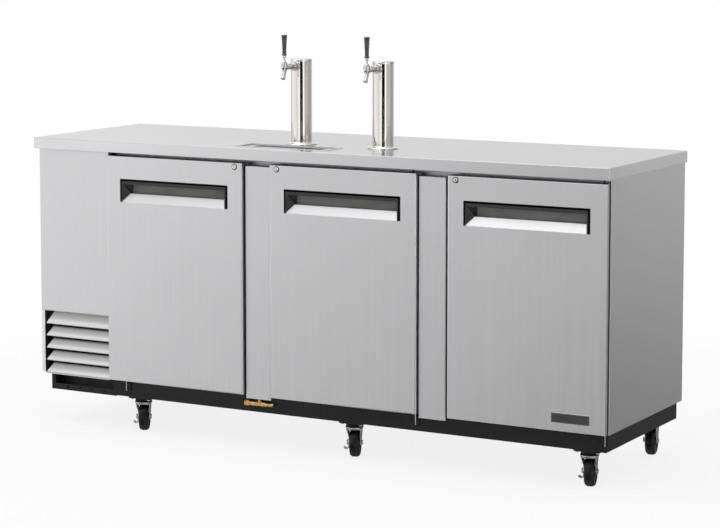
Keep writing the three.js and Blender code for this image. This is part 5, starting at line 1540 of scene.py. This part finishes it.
    def sky(self, tree, share, tall, around, upright):
        """Levels round the horizon times levels from the ground up."""
        return add(tree, "ShaderNodeMix", {
            "Factor": 1.0, "A": self.ramp(tree, share, -180, 180, around),
            "B": self.ramp(tree, tall, -1, 1, upright)}, data_type='RGBA',
            blend_type='MULTIPLY').outputs["Result"]

    def ramp(self, tree, share, start, end, levels):
        """Grey levels along a direction, each divided so that it stays within the range of a colour."""
        node = add(tree, "ShaderNodeValToRGB", {0: share})
        stops = node.color_ramp.elements
        while len(stops) > 1:
            stops.remove(stops[-1])
        for k, (at, level) in enumerate(levels):
            position = (at - start) / (end - start)
            stop = stops[0] if k == 0 else stops.new(position)
            stop.position = position
            stop.color = (level / SKY_RANGE,) * 3 + (1,)
        return node.outputs[0]

    def lamp(self, context, stage):
        data = bpy.data.lights.new("overhead_soft_box", 'AREA')
        data.shape = 'RECTANGLE'
        data.size = 4.0
        data.size_y = 3.0
        data.energy = stage.lamp_power
        lamp = bpy.data.objects.new("overhead_soft_box", data)
        lamp.location = (-0.8, -1.2, 4.2)
        away = Vector((-0.8, -1.2, 4.2)) - Vector((0, 0, 0.5))
        lamp.rotation_euler = away.to_track_quat('Z', 'Y').to_euler()
        context.scene.collection.objects.link(lamp)


class DISPENSER_PT_panel(bpy.types.Panel):
    bl_idname = "DISPENSER_PT_panel"
    bl_label = "Draft beer dispenser"
    bl_space_type = 'VIEW_3D'
    bl_region_type = 'UI'
    bl_category = "Dispenser"

    def draw(self, context):
        for operator in OPERATORS:
            self.layout.operator(operator.bl_idname)
        for holder in SETTINGS:
            self.layout.separator()
            for name in getattr(context.scene, holder).bl_rna.properties.keys():
                if name not in ("rna_type", "name"):
                    self.layout.prop(getattr(context.scene, holder), name)


OPERATORS = (
    DISPENSER_OT_stage, DISPENSER_OT_cabinet, DISPENSER_OT_grille, DISPENSER_OT_base, DISPENSER_OT_doors,
    DISPENSER_OT_tray, DISPENSER_OT_towers, DISPENSER_OT_casters, DISPENSER_OT_machinery,
    DISPENSER_OT_finishes,
)
SETTINGS = {
    "dispenser_steel": SteelSettings,
    "dispenser_taps": TapSettings,
    "dispenser_casters": CasterSettings,
    "dispenser_grille": GrilleSettings,
    "dispenser_stage": StageSettings,
}


def register():
    for group in SETTINGS.values():
        bpy.utils.register_class(group)
    for name, group in SETTINGS.items():
        setattr(bpy.types.Scene, name, PointerProperty(type=group))
    for operator in OPERATORS:
        bpy.utils.register_class(operator)
    bpy.utils.register_class(DISPENSER_PT_panel)


def unregister():
    bpy.utils.unregister_class(DISPENSER_PT_panel)
    for operator in reversed(OPERATORS):
        bpy.utils.unregister_class(operator)
    for name in SETTINGS:
        delattr(bpy.types.Scene, name)
    for group in reversed(list(SETTINGS.values())):
        bpy.utils.unregister_class(group)


def main():
    register()
    for operator in OPERATORS:
        group, name = operator.bl_idname.split(".")
        getattr(getattr(bpy.ops, group), name)()


if __name__ == "__main__":
    main()
